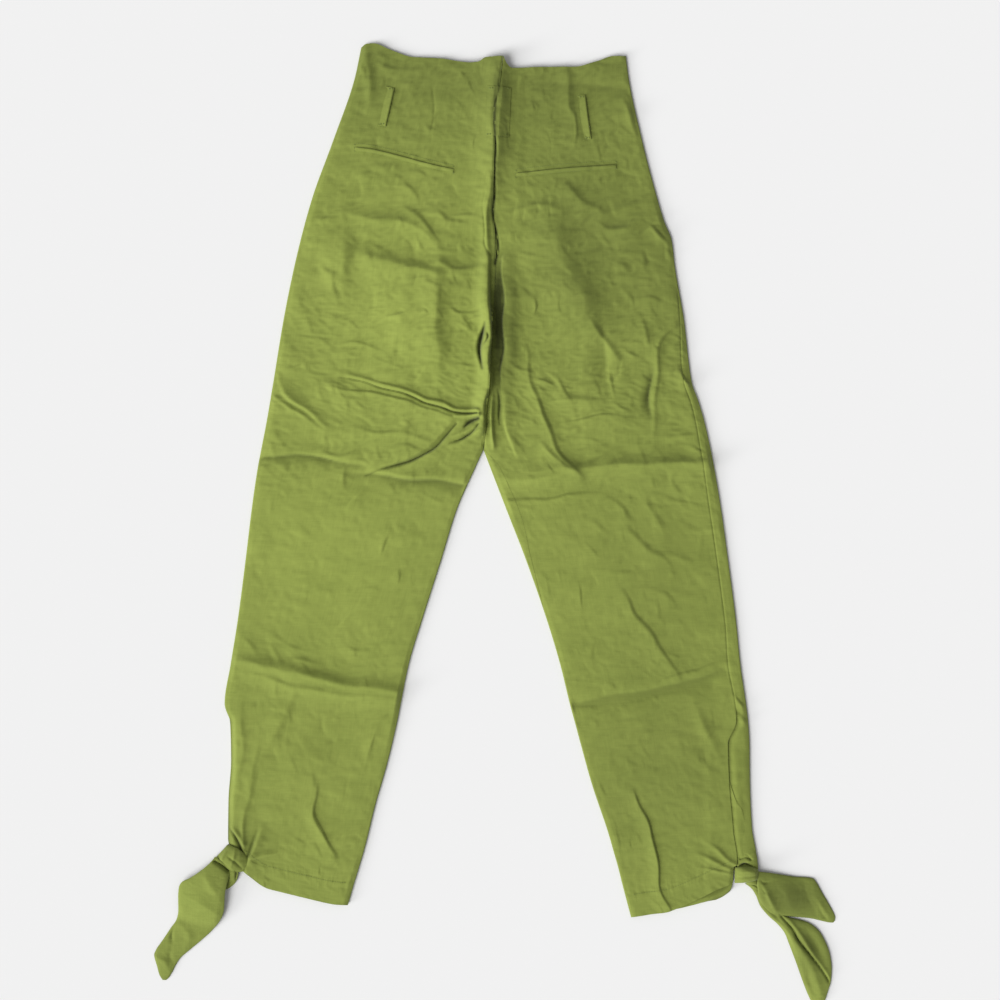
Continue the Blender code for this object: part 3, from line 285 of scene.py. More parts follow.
FURROW_AT = 1.15        # a furrow's place and width, in widths of the crease's upper side
FURROW_WIDTH = 0.6
WANDER_X = 1.2          # how far a crease strays to the sides and up and down
WANDER_Y = 1.0
FACET_ACROSS = 30.0     # size and height of the flat facets of crushed linen
FACET_DOWN = 15.0
FACET_HEIGHT = 1.1
BROAD_HEIGHT = 0.9      # height of the broad unevenness and of the finest crumples
FINE_HEIGHT = 0.28

# Small creases strewn over the panels: how many, their lengths, heights and widths of the upper and
# lower side, and the shares of them that lie across the garment and that stand up.
CRINKLES = 1100
CRINKLE_SEED = 11
CRINKLE_LENGTHS = (7, 30)
CRINKLE_HEIGHTS = (0.25, 0.8)
CRINKLE_UPPERS = (1.3, 3.0)
CRINKLE_LOWERS = (4.0, 11.0)
ACROSS_SHARE = 0.6
RAISED_SHARE = 0.7

# Broad swells all over the top layer: half height, and the lengths that set their slant and size.
Swell = namedtuple("Swell", "height across down")
SWELLS = [Swell(0.35, 41.0, 67.0), Swell(0.25, -78.0, 33.0)]

# Places where a hidden piece holds the top layer up, as boxes with a soft border.
Zone = namedtuple("Zone", "x0 x1 y0 y1")
SOFT_BORDER = 12.0
ZONES = [Zone(-32, 36, 330, 555), Zone(-250, -92, 92, 345), Zone(92, 245, 92, 345),
         Zone(236, 330, -432, -250)]

# Grid lines of a panel: distances in from its seam edges, then even steps between, and the rows
# that follow each other down the garment, in thousandths of the way from waist to hem.
BACK_FROM_SIDE = [0.0, 0.4, 0.9, 1.5, 2.3, 3.3, 4.6, 6.2]
BACK_FROM_CENTRE = [0.0, 0.5, 1.1, 1.8, 2.6, 3.5, 4.4, 5.3, 6.2, 7.1, 8.0, 8.9, 9.8, 10.7, 11.6, 12.6,
                    13.7, 15.0, 16.5, 18.2, 20.0, 22.0]
BACK_FROM_INSEAM = [0.0, 0.4, 0.9, 1.4, 1.9, 2.5, 3.2, 4.0, 4.8, 5.7, 6.6, 7.6, 8.6, 9.7, 10.8, 12.0,
                    13.3, 14.7, 16.2, 17.8, 19.5, 21.4]
BACK_BETWEEN = 132
CLOSER_INSIDE = 0.38    # how much closer than even the columns lie towards the centre and inseam
Spacing = namedtuple("Spacing", "start stop rows")
PANEL_ROWS = [Spacing(0, 60, 30), Spacing(60, 300, 128), Spacing(300, 440, 116), Spacing(440, 540, 60),
              Spacing(540, 700, 64), Spacing(700, 780, 46), Spacing(780, 930, 62), Spacing(930, 1000, 50)]
CLOSING = 15.0          # the stretch above the crotch in which the inner edges come together


def smooth_step(value):
    value = np.clip(value, 0.0, 1.0)
    return value * value * (3 - 2 * value)


def blend(a, b, share):
    return a + (b - a) * share


def through(xs, ys, x):
    """Values at x of a smooth curve through the points (xs, ys) that never overshoots them."""
    xs = np.asarray(xs, float)
    ys = np.asarray(ys, float)
    steps = np.diff(xs)
    slopes = np.diff(ys) / steps
    tangents = np.zeros(len(xs))
    tangents[0] = slopes[0]
    tangents[-1] = slopes[-1]
    product = slopes[:-1] * slopes[1:]
    turning = product <= 0
    total = np.where(turning, 1.0, slopes[:-1] + slopes[1:])
    tangents[1:-1] = np.where(turning, 0.0, 2 * product / total)
    k = np.clip(np.searchsorted(xs, x) - 1, 0, len(xs) - 2)
    t = np.clip((x - xs[k]) / steps[k], 0.0, 1.0)
    rise = ys[k] * (1 + 2 * t) * (1 - t) ** 2 + ys[k + 1] * t * t * (3 - 2 * t)
    return rise + steps[k] * (tangents[k] * t * (1 - t) ** 2 - tangents[k + 1] * t * t * (1 - t))


def smooth_line(points, count):
    """count points on a smooth line through the given ones, even in the line's own parameter."""
    table = np.asarray(points, float)
    places = np.linspace(0, 1, len(table))
    t = np.linspace(0, 1, count)
    return np.stack([through(places, column, t) for column in table.T], axis=1)


def centre_x(y):
    line = np.array(CENTRE_LINE, float)[::-1]
    return through(line[:, 1], line[:, 0], y)


def crease_height(crease, x, y):
    """Height that one crease adds at each point; nothing beyond its reach."""
    line = smooth_line(crease.line, 8 * len(crease.line))
    reach = CREASE_REACH * max(crease.upper, crease.lower)
    low = line.min(0) - reach
    high = line.max(0) + reach
    height = np.zeros(x.shape)
    near = (x > low[0]) & (x < high[0]) & (y > low[1]) & (y < high[1])
    if not near.any():
        return height
    starts = line[:-1]
    ways = np.diff(line, axis=0)
    apart = np.stack([x[near], y[near]], axis=-1)[:, None, :] - starts
    share = np.clip((apart * ways).sum(-1) / (ways * ways).sum(-1), 0.0, 1.0)
    offsets = apart - share[..., None] * ways
    distances = np.linalg.norm(offsets, axis=-1)
    nearest = distances.argmin(-1)
    each = np.arange(len(nearest))
    along = (nearest + share[each, nearest]) / len(ways)
    offset = offsets[each, nearest]
    way = ways[nearest]
    turned = way[:, 0] * offset[:, 1] - way[:, 1] * offset[:, 0]
    off = distances[each, nearest]
    length = np.linalg.norm(way, axis=1)
    side = turned / np.maximum(off * length, 1e-6)
    width = blend(crease.lower, crease.upper, smooth_step((side + 1) / 2))
    crest = through([0, 0.5, 1], [crease.start, crease.middle, crease.end], along)
    height[near] = crest * np.exp(-(off / width) ** crease.crisp)
    if crease.furrow:
        depth = crease.furrow * np.sin(math.pi * np.clip(along, 0.02, 0.98))
        furrow = np.exp(-((off / crease.upper - FURROW_AT) / FURROW_WIDTH) ** 2)
        height[near] -= np.where(turned > 0, depth * furrow, 0)
    return height


def strewn_creases(count):
    """Small creases of many lengths, most of them across the garment, some along it."""
    chance = np.random.default_rng(CRINKLE_SEED)
    made = []
    for _ in range(count):
        x, y = chance.uniform(-310, 310), chance.uniform(-440, 540)
        slant = chance.normal(0, 0.45) if chance.random() < ACROSS_SHARE else chance.normal(-1.15, 0.4)
        length = chance.uniform(*CRINKLE_LENGTHS)
        way = np.array([math.cos(slant), math.sin(slant)]) * length / 2
        bow = np.array([-way[1], way[0]]) * chance.uniform(-0.3, 0.3)
        middle = np.array([x, y])
        line = [tuple(middle - way), tuple(middle + bow), tuple(middle + way)]
        height = chance.uniform(*CRINKLE_HEIGHTS) * (1 if chance.random() < RAISED_SHARE else -1)
        height *= float(restless(y))
        upper, lower = chance.uniform(*CRINKLE_UPPERS), chance.uniform(*CRINKLE_LOWERS)
        furrow = max(0.0, height) * 0.3
        made.append(Crease(line, 0.3 * height, height, 0.2 * height, upper, lower, 1.4, furrow))
    return made


def zone_share(zone, x, y):
    inside = [x - zone.x0, zone.x1 - x, y - zone.y0, zone.y1 - y]
    return math.prod(smooth_step(distance / SOFT_BORDER) for distance in inside)


def restless(y):
    """How crumpled the cloth is: most over the seat, where it was sat on, and least on the legs."""
    return 0.85 + 0.6 * smooth_step((y - 10) / 90) - 0.05 * smooth_step((y - 380) / 80)


def crumple(x, y):
    """The disorder of crushed linen: small flat facets with crisp edges, longer across than down."""
    u = x / FACET_ACROSS + 0.35 * np.sin(y / 23.0)
    v = y / FACET_DOWN + 0.5 * np.sin(x / 37.0)
    points = np.stack([u.ravel(), v.ravel()], axis=1)
    near = [noise.voronoi((a, b, 0.4), distance_metric="DISTANCE")[0] for a, b in points]
    facets = np.array([d[1] - d[0] for d in near])
    broad = np.array([noise.noise((a * 0.7, b * 0.55, 3.7)) for a, b in points])
    fine = np.array([noise.noise((a * 2.6 + 9, b * 2.2, 8.1)) for a, b in points])
    strength = 0.75 + 0.5 * broad
    relief = FACET_HEIGHT * facets * strength + BROAD_HEIGHT * broad + FINE_HEIGHT * (1 - np.abs(fine) * 2.4)
    return relief.reshape(x.shape) * restless(y)


def puckers(along, span, seed):
    """Uneven small ripples along a seam or hem."""
    fast = [noise.noise((a / span, seed, 0.5)) + 0.6 * noise.noise((a * 2.3 / span, seed, 4.5))
            for a in np.ravel(along)]
    return np.array(fast).reshape(np.shape(along))


# Broad bulges and hollows: middle, reach both ways, turn in degrees and height.
Bulge = namedtuple("Bulge", "x y reach_x reach_y turn height")
BULGES = [Bulge(*bulge) for bulge in (
    (-100, 230, 60, 45, -10, 2.5), (-150, 130, 50, 30, 0, 1.5), (-190, 0, 60, 40, 0, 2.0),
    (90, 250, 30, 60, 20, 2.5), (150, 120, 45, 40, 0, 2.0), (150, -60, 60, 50, 0, 2.0),
    (-230, -280, 40, 60, 0, 1.5), (215, -290, 35, 60, 0, 1.5),
)]


def bulge_height(x, y):
    height = 0.0
    for bulge in BULGES:
        turn = math.radians(bulge.turn)
        along = (x - bulge.x) * math.cos(turn) + (y - bulge.y) * math.sin(turn)
        aside = (y - bulge.y) * math.cos(turn) - (x - bulge.x) * math.sin(turn)
        height = height + bulge.height * np.exp(-(along / bulge.reach_x) ** 2 - (aside / bulge.reach_y) ** 2)
    return height


def wandering(x, y):
    """Places a little off, so that no crease runs quite smoothly."""
    off_x = WANDER_X * np.sin(y / 9.0 + np.sin(x / 17.0) * 2)
    off_y = WANDER_Y * np.sin(x / 11.0 + np.sin(y / 13.0) * 2)
    return x + off_x, y + off_y


def top_height(x, y, from_edge, edge_mid=EDGE_TOP, roll_in=ROLL_IN):
    """Height of the middle of the top layer, where from_edge is the distance in from a side edge."""
    held = sum(zone_share(zone, x, y) for zone in ZONES)
    settled = TOP_MID + (TOP_OVER_PIECE - TOP_MID) * np.clip(held, 0, 1)
    swell = sum(s.height * (1 + np.sin(x / s.across + y / s.down)) for s in SWELLS)
    wander_x, wander_y = wandering(x, y)
    creases = sum(crease_height(crease, wander_x, wander_y) for crease in CREASES + crinkles)
    rolled = edge_mid + (settled - edge_mid) * smooth_step(from_edge / roll_in)
    folds = swell + bulge_height(x, y) + creases + crumple(x, y)
    height = rolled + folds * smooth_step(from_edge / FOLD_CLEAR)
    below = np.minimum(height - LOWEST_TOP, 0)
    pressed = LOWEST_TOP - PRESSED * (1 - np.exp(below * 0.4 / PRESSED))
    return np.where((from_edge > 2) & (height < LOWEST_TOP), pressed, height)


def panel_rows(half):
    """The edges at each row of the grid, the share of each row on the way down, and how far the
    inner edges have come together."""
    places = [np.linspace(s.start, s.stop, s.rows, endpoint=False) for s in PANEL_ROWS]
    places = np.append(np.concatenate(places), PANEL_ROWS[-1].stop)
    table = np.array(half.rows, float)
    down = -(table[:, 1] + table[:, 3]) / 2
    down = 1000 * (down - down[0]) / (down[-1] - down[0])
    crotch = int(np.flatnonzero(table[:, 3] == CROTCH_Y)[0])
    above = places <= down[crotch]
    fields = []
    for column in table.T:
        upper = through(down[: crotch + 1], column[: crotch + 1], places)
        lower = through(down[crotch:], column[crotch:], places)
        fields.append(np.where(above, upper, lower))
    rows = Row(*fields)
    rows = rows._replace(in_x=np.where(above, centre_x(rows.in_y), rows.in_x))
    return rows, places, smooth_step((places - down[crotch] + CLOSING) / CLOSING)


def bent(arc):
    """Distance in from a side edge and height, at an arc length from where the cloth leaves the
    surface: flat below, round the bend, then on along the top."""
    turn = np.clip(arc / EDGE_RADIUS, 0, math.pi) - math.pi / 2
    across = EDGE_RADIUS * (1 - np.cos(turn)) + np.maximum(arc - HALF_TURN, 0) + np.maximum(-arc, 0)
    return across, FLOOR_MID + EDGE_RADIUS * (1 + np.sin(turn))


def seam_arc(lap):
    """Arc length of the side seam, which is halfway round the bend where the front has no lap."""
    return np.where(lap < EDGE_RADIUS, HALF_TURN / 2 * (1 + lap / EDGE_RADIUS), HALF_TURN + lap - EDGE_RADIUS)


def place_grid(half, rows, places, across_out, across_in, count, waist, hem):
    """x, y and the distances to the two side edges, with count even columns between the edges'."""
    inward = -half.side
    out_edge = rows.out_x + inward * FLOOR_MID
    in_edge = rows.in_x - inward * FLOOR_MID
    width = np.abs(in_edge - out_edge)[:, None]
    first = across_out[:, -1:]
    last = width - across_in[:, -1:]
    even = np.linspace(0, 1, count + 2)[1:-1]
    between = first + (last - first) * (even + CLOSER_INSIDE * even * (1 - even))
    from_out = np.concatenate([across_out, between, (width - across_in)[:, ::-1]], axis=1)
    share = from_out / width
    x = out_edge[:, None] + inward * from_out
    y = rows.out_y[:, None] + (rows.in_y - rows.out_y)[:, None] * share
    top_fade = np.clip(1 - places / BOW_FADE, 0, 1)[:, None] ** 2
    foot_fade = np.clip(1 - (1000 - places) / BOW_FADE, 0, 1)[:, None] ** 2
    rise = through(*zip(*waist), share)
    fall = through(*zip(*hem), share)
    return x, y + rise * top_fade - fall * foot_fade, from_out, width - from_out


# What the sewing does: how deep the seams and stitches are drawn in and how wide their grooves are,
# how high the cloth ripples beside them and how far the ripples reach.
SIDE_SUNK = 0.55
INSEAM_SUNK = 0.5
STITCH_SUNK = 0.4
GROOVE_WIDTH = 0.9
SIDE_RIPPLE = 0.45
INSEAM_RIPPLE = 0.35
HEM_RIPPLE = 0.4
RIPPLE_REACH = 8
HEM_RIPPLE_REACH = 7
HEM_STEP = 0.35         # how much thicker the turned hem is
STITCHED_AT = HEM_DEEP - 2


def sewn_relief(x, y, from_out, from_in, lap_out, rows, slit, closed):
    """What the sewing does to the cloth: seams pressed in, the turned hem and the ripples of both."""
    seam_out = from_out - np.maximum(lap_out, 0)
    on_top = smooth_step(lap_out / CLIMB) * (1 - slit)
    ripple = puckers(rows.out_y, 6.0, 1.0)[:, None]
    sunk = -SIDE_SUNK * np.exp(-(seam_out / GROOVE_WIDTH) ** 2) * on_top
    reach = np.exp(-np.abs(seam_out) / RIPPLE_REACH)
    sunk += SIDE_RIPPLE * ripple * reach * (1 - slit) * smooth_step(from_out / 3)
    ripple = puckers(rows.in_y, 7.0, 5.0)[:, None]
    sunk += -INSEAM_SUNK * np.exp(-(from_in / GROOVE_WIDTH) ** 2) * (1 - closed)
    reach = np.exp(-np.abs(from_in) / RIPPLE_REACH)
    sunk += INSEAM_RIPPLE * ripple * reach * smooth_step(from_in / 2)
    above_hem = y - y[-1]
    turned = HEM_STEP * smooth_step((HEM_DEEP - above_hem) / 1.5)
    from_stitches = above_hem - STITCHED_AT
    stitched = -STITCH_SUNK * np.exp(-(from_stitches / GROOVE_WIDTH) ** 2)
    waved = HEM_RIPPLE * puckers(x[-1], 6.0, 9.0) * np.exp(-np.abs(from_stitches) / HEM_RIPPLE_REACH)
    return sunk + turned + stitched + waved


def back_grid(half):
    """Points [row, column] of the middle of a back panel, columns from the side edge inwards."""
    rows, places, closed = panel_rows(half)
    slit = smooth_step(rows.slit * 2 - 1)[:, None]
    closed = closed[:, None]
    lap_out = rows.lap_out[:, None]
    side = np.array(BACK_FROM_SIDE)
    centre = np.array(BACK_FROM_CENTRE)
    arc_out = seam_arc(lap_out) + SEAM_HALF + side
    across_tube, height_tube = bent(arc_out)
    across_out = blend(across_tube, lap_out + side, slit)
    arc_in = seam_arc(rows.lap_in[:, None]) + SEAM_HALF + np.array(BACK_FROM_INSEAM)
    across_bent, height_bent = bent(arc_in)
    across_in = blend(centre + SEAM_HALF - FLOOR_MID, across_bent, closed)
    x, y, from_out, from_in = place_grid(
        half, rows, places, across_out, across_in, BACK_BETWEEN, half.waist, half.back_hem
    )
    from_edge = np.minimum(from_out, from_in + 2 * FOLD_CLEAR * (1 - closed))
    land = np.clip(SEAM_LAND - FLOOR_MID - from_in, 0, None) * (1 - closed)
    x_level = x + half.side * land
    slit_share = np.where(from_out < from_in, slit, 0)
    edge_mid = blend(EDGE_TOP, half.slit_edge_mid, slit_share)
    z = top_height(x_level, y, from_edge, edge_mid, blend(ROLL_IN, SLIT_ROLL_IN, slit_share))
    z += sewn_relief(x, y, from_out, from_in, lap_out, rows, slit, closed)
    n, m = len(side), len(centre)
    z[:, :n] = blend(np.where(arc_out < HALF_TURN, height_tube, z[:, :n]), z[:, :n], slit)
    inner = z[:, -m:][:, ::-1]
    z[:, -m:] = blend(inner, np.where(arc_in < HALF_TURN, height_bent, inner), closed)[:, ::-1]
    cut = np.stack([from_out - from_out[:, -1:] / 2, np.repeat(places[:, None], x.shape[1], 1)], axis=2)
    return np.stack([x, y, z], axis=2), cut


# Painted light and shade, put in the colour: places painted lighter where more light falls and darker where
# less falls or folds lie in shade, with their middle, reach both ways and share of light gained.
Fade = namedtuple("Fade", "x y reach_x reach_y gain")
PAINTED_PLACES = [Fade(*painted) for painted in (
    (0, 540, 300, 110, -0.31), (110, 320, 90, 150, -0.29), (205, 300, 40, 130, -0.14),
    (-110, 230, 95, 120, 0.13), (-190, -20, 110, 110, 0.13), (200, -60, 110, 240, -0.13),
    (190, -300, 110, 120, -0.15), (-290, -370, 35, 35, -0.2), (310, -420, 60, 40, -0.2),
    (348, -427, 34, 26, -0.3), (372, -490, 18, 36, -0.2), (350, -498, 18, 50, -0.2),
    (3, 222, 7.5, 60, -0.8), (-385, -495, 40, 40, -0.1), (2, 268, 5, 28, -0.45), (2, 505, 4, 14, -0.2),
    (-1.4, 468, 1.9, 32, -0.5), (-0.3, 415, 2.2, 24, -0.35), (-2.4, 376, 2.2, 20, -0.4),
    (0.6, 330, 2.4, 24, -0.4), (-29, 118, 8, 3.2, -0.35), (0, 55, 8, 30, -0.09), (20, 2, 9, 34, -0.08),
    (42, -58, 9, 36, -0.07), (110, 200, 60, 60, 0.05),
)]
PAINTED_DARKEST = -0.8       # limits of what the places add up to
PAINTED_LIGHTEST = 0.3
HOLLOW_GAIN = 0.16      # painted shade: share of light lost for each millimetre that a fold lies below its sides; crests gain a little, as wear and painted highlight
HOLLOW_LEAST = -0.4     # limits of that share
HOLLOW_MOST = 0.02
UNDERCUT = 0.4          # painted shade: share lost at the turned edges, which rest on the surface
UNDERCUT_FROM = 2.3     # height below which it sets in
NARROW = 10.0           # reach below which a painted place is on the top layer only
SHUT_FROM = -2.9        # a narrow crease this deep has shut on itself and gets painted shade
SHUT_WIDTH = 3.0        # width of its upper side up to which a crease counts as narrow
SHUT_MOST = -6.0        # depth from which it gets no darker
SHUT_GAIN = 0.08        # painted shade: share of light lost for each millimetre of its depth


def neighbours(table):
    """The table moved by a row up and down and a column left and right, its edges repeated."""
    wide = np.pad(table, 1, mode="edge")
    return wide[:-2, 1:-1], wide[2:, 1:-1], wide[1:-1, :-2], wide[1:-1, 2:]


def hollows(grid, passes=7):
    """How far each point lies below the cloth round it, in millimetres."""
    level = grid[..., 2]
    for _ in range(passes):
        level = sum(neighbours(level)) / 4
    return level - grid[..., 2]


def paint_light_and_shade(piece, points, grid):
    """Painted light and shade in the colour: places painted lighter or darker where the light falls unevenly,
    painted shade in hollows, in narrow deep creases and on the turned edges, and crests a little paler, both
    worn and painted lighter. The narrow places and the turned edges leave out what faces down."""
    normals = np.zeros(len(points) * 3)
    piece.data.vertex_normals.foreach_get("vector", normals)
    seen = smooth_step((normals[2::3] + 0.8) / 0.5)
    x, y, z = points.T
    painted = np.zeros(len(points))
    # broad places painted lighter or darker, and painted shade in the gap and seams of the centre back
    for f in PAINTED_PLACES:
        place = np.exp(-((x - f.x) / f.reach_x) ** 2 - ((y - f.y) / f.reach_y) ** 2)
        painted += f.gain * place * (seen if f.reach_x < NARROW else 1)
    # painted shade in hollows, and crests a little paler from wear and painted highlight
    hollow_shade = np.clip(-HOLLOW_GAIN * hollows(grid).ravel(), HOLLOW_LEAST, HOLLOW_MOST)
    painted[:len(hollow_shade)] += hollow_shade
    # painted shade on the turned edges that rest on the surface
    painted -= UNDERCUT * seen * np.clip((UNDERCUT_FROM - z) / UNDERCUT_FROM, 0, 1)
    wander_x, wander_y = wandering(x, y)
    # painted shade in narrow deep creases
    for crease in CREASES:
        if crease.middle < SHUT_FROM and crease.upper < SHUT_WIDTH:
            painted += SHUT_GAIN * seen * np.maximum(crease_height(crease, wander_x, wander_y), SHUT_MOST)
    layer = piece.data.attributes.new("painted_shading", "FLOAT", "POINT")
    layer.data.foreach_set("value", np.clip(painted, PAINTED_DARKEST, PAINTED_LIGHTEST))


def quads(index):
    """Faces between the neighbouring lines of a grid of vertex numbers."""
    return np.stack([index[:-1, :-1], index[:-1, 1:], index[1:, 1:], index[1:, :-1]], -1).reshape(-1, 4)


def border(index):
    """The vertex numbers once round the edge of a grid."""
    return np.concatenate([index[0, :-1], index[:-1, -1], index[-1, :0:-1], index[:0:-1, 0]])


def new_piece(name, mesh, material=None):
    """An object for a mesh, in the scene."""
    if material:
        mesh.materials.append(material)
    piece = bpy.data.objects.new(name, mesh)
    bpy.context.scene.collection.objects.link(piece)
    return piece


def thin_shell(name, grid, cut, thickness=LINEN_THICKNESS, shown=1, step=2):
    """A closed shell of cloth round a grid of points in millimetres, with its cut as UV in metres.
    The side that is hidden, below or above as shown says, has only every few rows and columns, and
    stays clear of the furrows in between."""
    down, across = grid.shape[:2]
    normals = np.cross(np.gradient(grid, axis=1), np.gradient(grid, axis=0))
    normals /= np.maximum(np.linalg.norm(normals, axis=2), 1e-9)[..., None]
    flipped = (normals[..., 2].mean() < 0) == (shown > 0)
    if flipped:
        normals = -normals
    inner_rows = np.unique(np.append(np.arange(0, down, step), down - 1))
    inner_columns = np.unique(np.append(np.arange(0, across, step), across - 1))
    hidden = grid - normals * thickness / 2
    if step > 2:
        lowest = grid[..., 2].copy()
        for axis in (0, 1):
            for _ in range(step):
                before, after = neighbours(lowest)[2 * axis:2 * axis + 2]
                lowest = np.minimum(lowest, np.minimum(before, after))
        inside = np.zeros((down, across), bool)
        inside[step:-step, step * 2:-step * 2] = True
        hidden[inside] = grid[inside]
        hidden[..., 2][inside] = lowest[inside] - thickness / 2
    lower = hidden[inner_rows][:, inner_columns]
    points = np.concatenate([(grid + normals * thickness / 2).reshape(-1, 3), lower.reshape(-1, 3)])
    flat = np.concatenate([cut.reshape(-1, 2), cut[inner_rows][:, inner_columns].reshape(-1, 2)])

    outer_index = np.arange(down * across).reshape(down, across)
    inner_index = down * across + np.arange(lower.shape[0] * lower.shape[1]).reshape(lower.shape[:2])
    outer_border = border(outer_index).tolist()
    inner_border = border(inner_index).tolist()
    matching = border(outer_index[inner_rows][:, inner_columns]).tolist()
    starts = [outer_border.index(k) for k in matching] + [len(outer_border)]
    rim = []
    for k, (first, last) in enumerate(zip(starts, starts[1:])):
        along = [outer_border[i % len(outer_border)] for i in range(first, last + 1)]
        rim.append(along[::-1] + [inner_border[k], inner_border[(k + 1) % len(inner_border)]])
    faces = quads(outer_index).tolist() + quads(inner_index)[:, ::-1].tolist() + rim
    if flipped:
        faces = [face[::-1] for face in faces]

    mesh = bpy.data.meshes.new(name)
    mesh.from_pydata((points * MM).tolist(), [], faces)
    corners = np.zeros(len(mesh.loops), int)
    mesh.loops.foreach_get("vertex_index", corners)
    mesh.uv_layers.new(name="cut").data.foreach_set("uv", (flat[corners] * MM).ravel())
    mesh.shade_smooth()
    ends = np.zeros(len(mesh.edges) * 2, int)
    mesh.edges.foreach_get("vertices", ends)
    keys = np.sort(ends.reshape(-1, 2), 1) @ [len(points), 1]
    rims = [np.sort(np.stack([edge, np.roll(edge, -1)], 1), 1) @ [len(points), 1]
            for edge in (outer_border, inner_border)]
    sharp = np.isin(keys, np.concatenate(rims))
    mesh.attributes.new("sharp_edge", "BOOLEAN", "EDGE").data.foreach_set("value", sharp)
    piece = new_piece(name, mesh)
    # painted light and shade of the piece, kept in a point attribute
    paint_light_and_shade(piece, points, grid)
    return piece


def plug(socket, value):
    """Give a socket a value, or join it to what comes out of another node."""
    if hasattr(value, "is_output"):
        socket.id_data.links.new(value, socket)
    else:
        socket.default_value = value


def fill(node, **inputs):
    """Plug the named sockets of a node."""
    for name, value in inputs.items():
        plug(node.inputs[name.replace("_", " ")], value)
    return node


def node_tools(tree):
    """Two short calls for building a node tree: add a node, and a maths node with its inputs."""

    def add(kind, **settings):
        node = tree.nodes.new(kind)
        for key, value in settings.items():
            setattr(node, key, value)
        return node

    def maths(operation, *values):
        node = add("ShaderNodeMath", operation=operation)
        for socket, value in zip(node.inputs, values):
            plug(socket, value)
        return node.outputs[0]

    return add, maths


def new_group(name, inputs, outputs):
    """An empty node group with named sockets, the nodes at its two ends and the tools to fill it."""
    group = bpy.data.node_groups.new(name, "ShaderNodeTree")
    for way, sockets in (("INPUT", inputs), ("OUTPUT", outputs)):
        for socket, kind in sockets.items():
            group.interface.new_socket(socket, in_out=way, socket_type="NodeSocket" + kind)
    add, maths = node_tools(group)
    return group, add("NodeGroupInput"), add("NodeGroupOutput"), add, maths


def new_paint(name):
    """A new material with its shader and the tools to fill it."""
    made = bpy.data.materials.new(name)
    made.use_nodes = True
    add, maths = node_tools(made.node_tree)
    shader = made.node_tree.nodes["Principled BSDF"]
    return made, shader, add, maths


def plain_weave_group():
    """Threads of a plain weave with uneven, slubby yarn, from a place on the cut cloth."""
    group, given, result, add, maths = new_group(
        "plain_weave", {"Cut": "Vector", "Threads": "Float"}, {"Slub": "Float", "Height": "Float"}
    )
    parts = fill(add("ShaderNodeSeparateXYZ"), Vector=given.outputs["Cut"])
    u, v = [maths("MULTIPLY", part, given.outputs["Threads"]) for part in parts.outputs[:2]]
    streaks = []
    for fast, slow in ((u, v), (v, u)):
        along = add("ShaderNodeCombineXYZ")
        fill(along, X=maths("MULTIPLY", fast, YARN_CHANGES), Y=maths("MULTIPLY", slow, SLUB_CHANGES))
        yarn = fill(add("ShaderNodeTexNoise"), Scale=1.0, Detail=2.0, Vector=along.outputs[0])
        streaks.append(yarn.outputs[0])
    slub = maths("MULTIPLY", maths("ADD", *streaks), 0.5)
    over = maths("SINE", maths("MULTIPLY", u, math.pi))
    under = maths("SINE", maths("MULTIPLY", v, math.pi))
    crossing = maths("MULTIPLY", maths("MULTIPLY", over, under), 0.25)
    fill(result, Slub=slub, Height=maths("ADD", crossing, slub))
    return group


def rumple_group():
    """Small soft wrinkles and cloudy unevenness of washed linen, from a place in the object."""
    group, given, result, add, maths = new_group(
        "rumple", {"Place": "Vector"}, {"Height": "Float", "Cloud": "Float"}
    )

    def wrinkles(stretch, scale, detail):
        mapping = fill(add("ShaderNodeMapping"), Scale=stretch, Vector=given.outputs["Place"])
        source = add("ShaderNodeTexNoise")
        return fill(source, Scale=scale, Detail=detail, Vector=mapping.outputs[0]).outputs[0]

    across = maths("ABSOLUTE", maths("SUBTRACT", wrinkles((0.4, 1.0, 1.0), 70.0, 2.0), 0.5))
    down = maths("ABSOLUTE", maths("SUBTRACT", wrinkles((1.0, 0.5, 1.0), 48.0, 2.0), 0.5))
    height = maths("SUBTRACT", 1.0, maths("ADD", across, maths("MULTIPLY", down, 0.7)))
    fill(result, Height=height, Cloud=wrinkles((0.6, 1.0, 1.0), 26.0, 4.0))
    return group


LINEN_LIGHT = (0.290, 0.345, 0.070, 1.0)
LINEN_DARK = (0.200, 0.250, 0.045, 1.0)
THREADS_PER_METRE = 1650.0
YARN_CHANGES = 0.55     # how fast the colour changes from thread to thread
SLUB_CHANGES = 0.022    # and along one thread
plain_weave = plain_weave_group()
rumple = rumple_group()


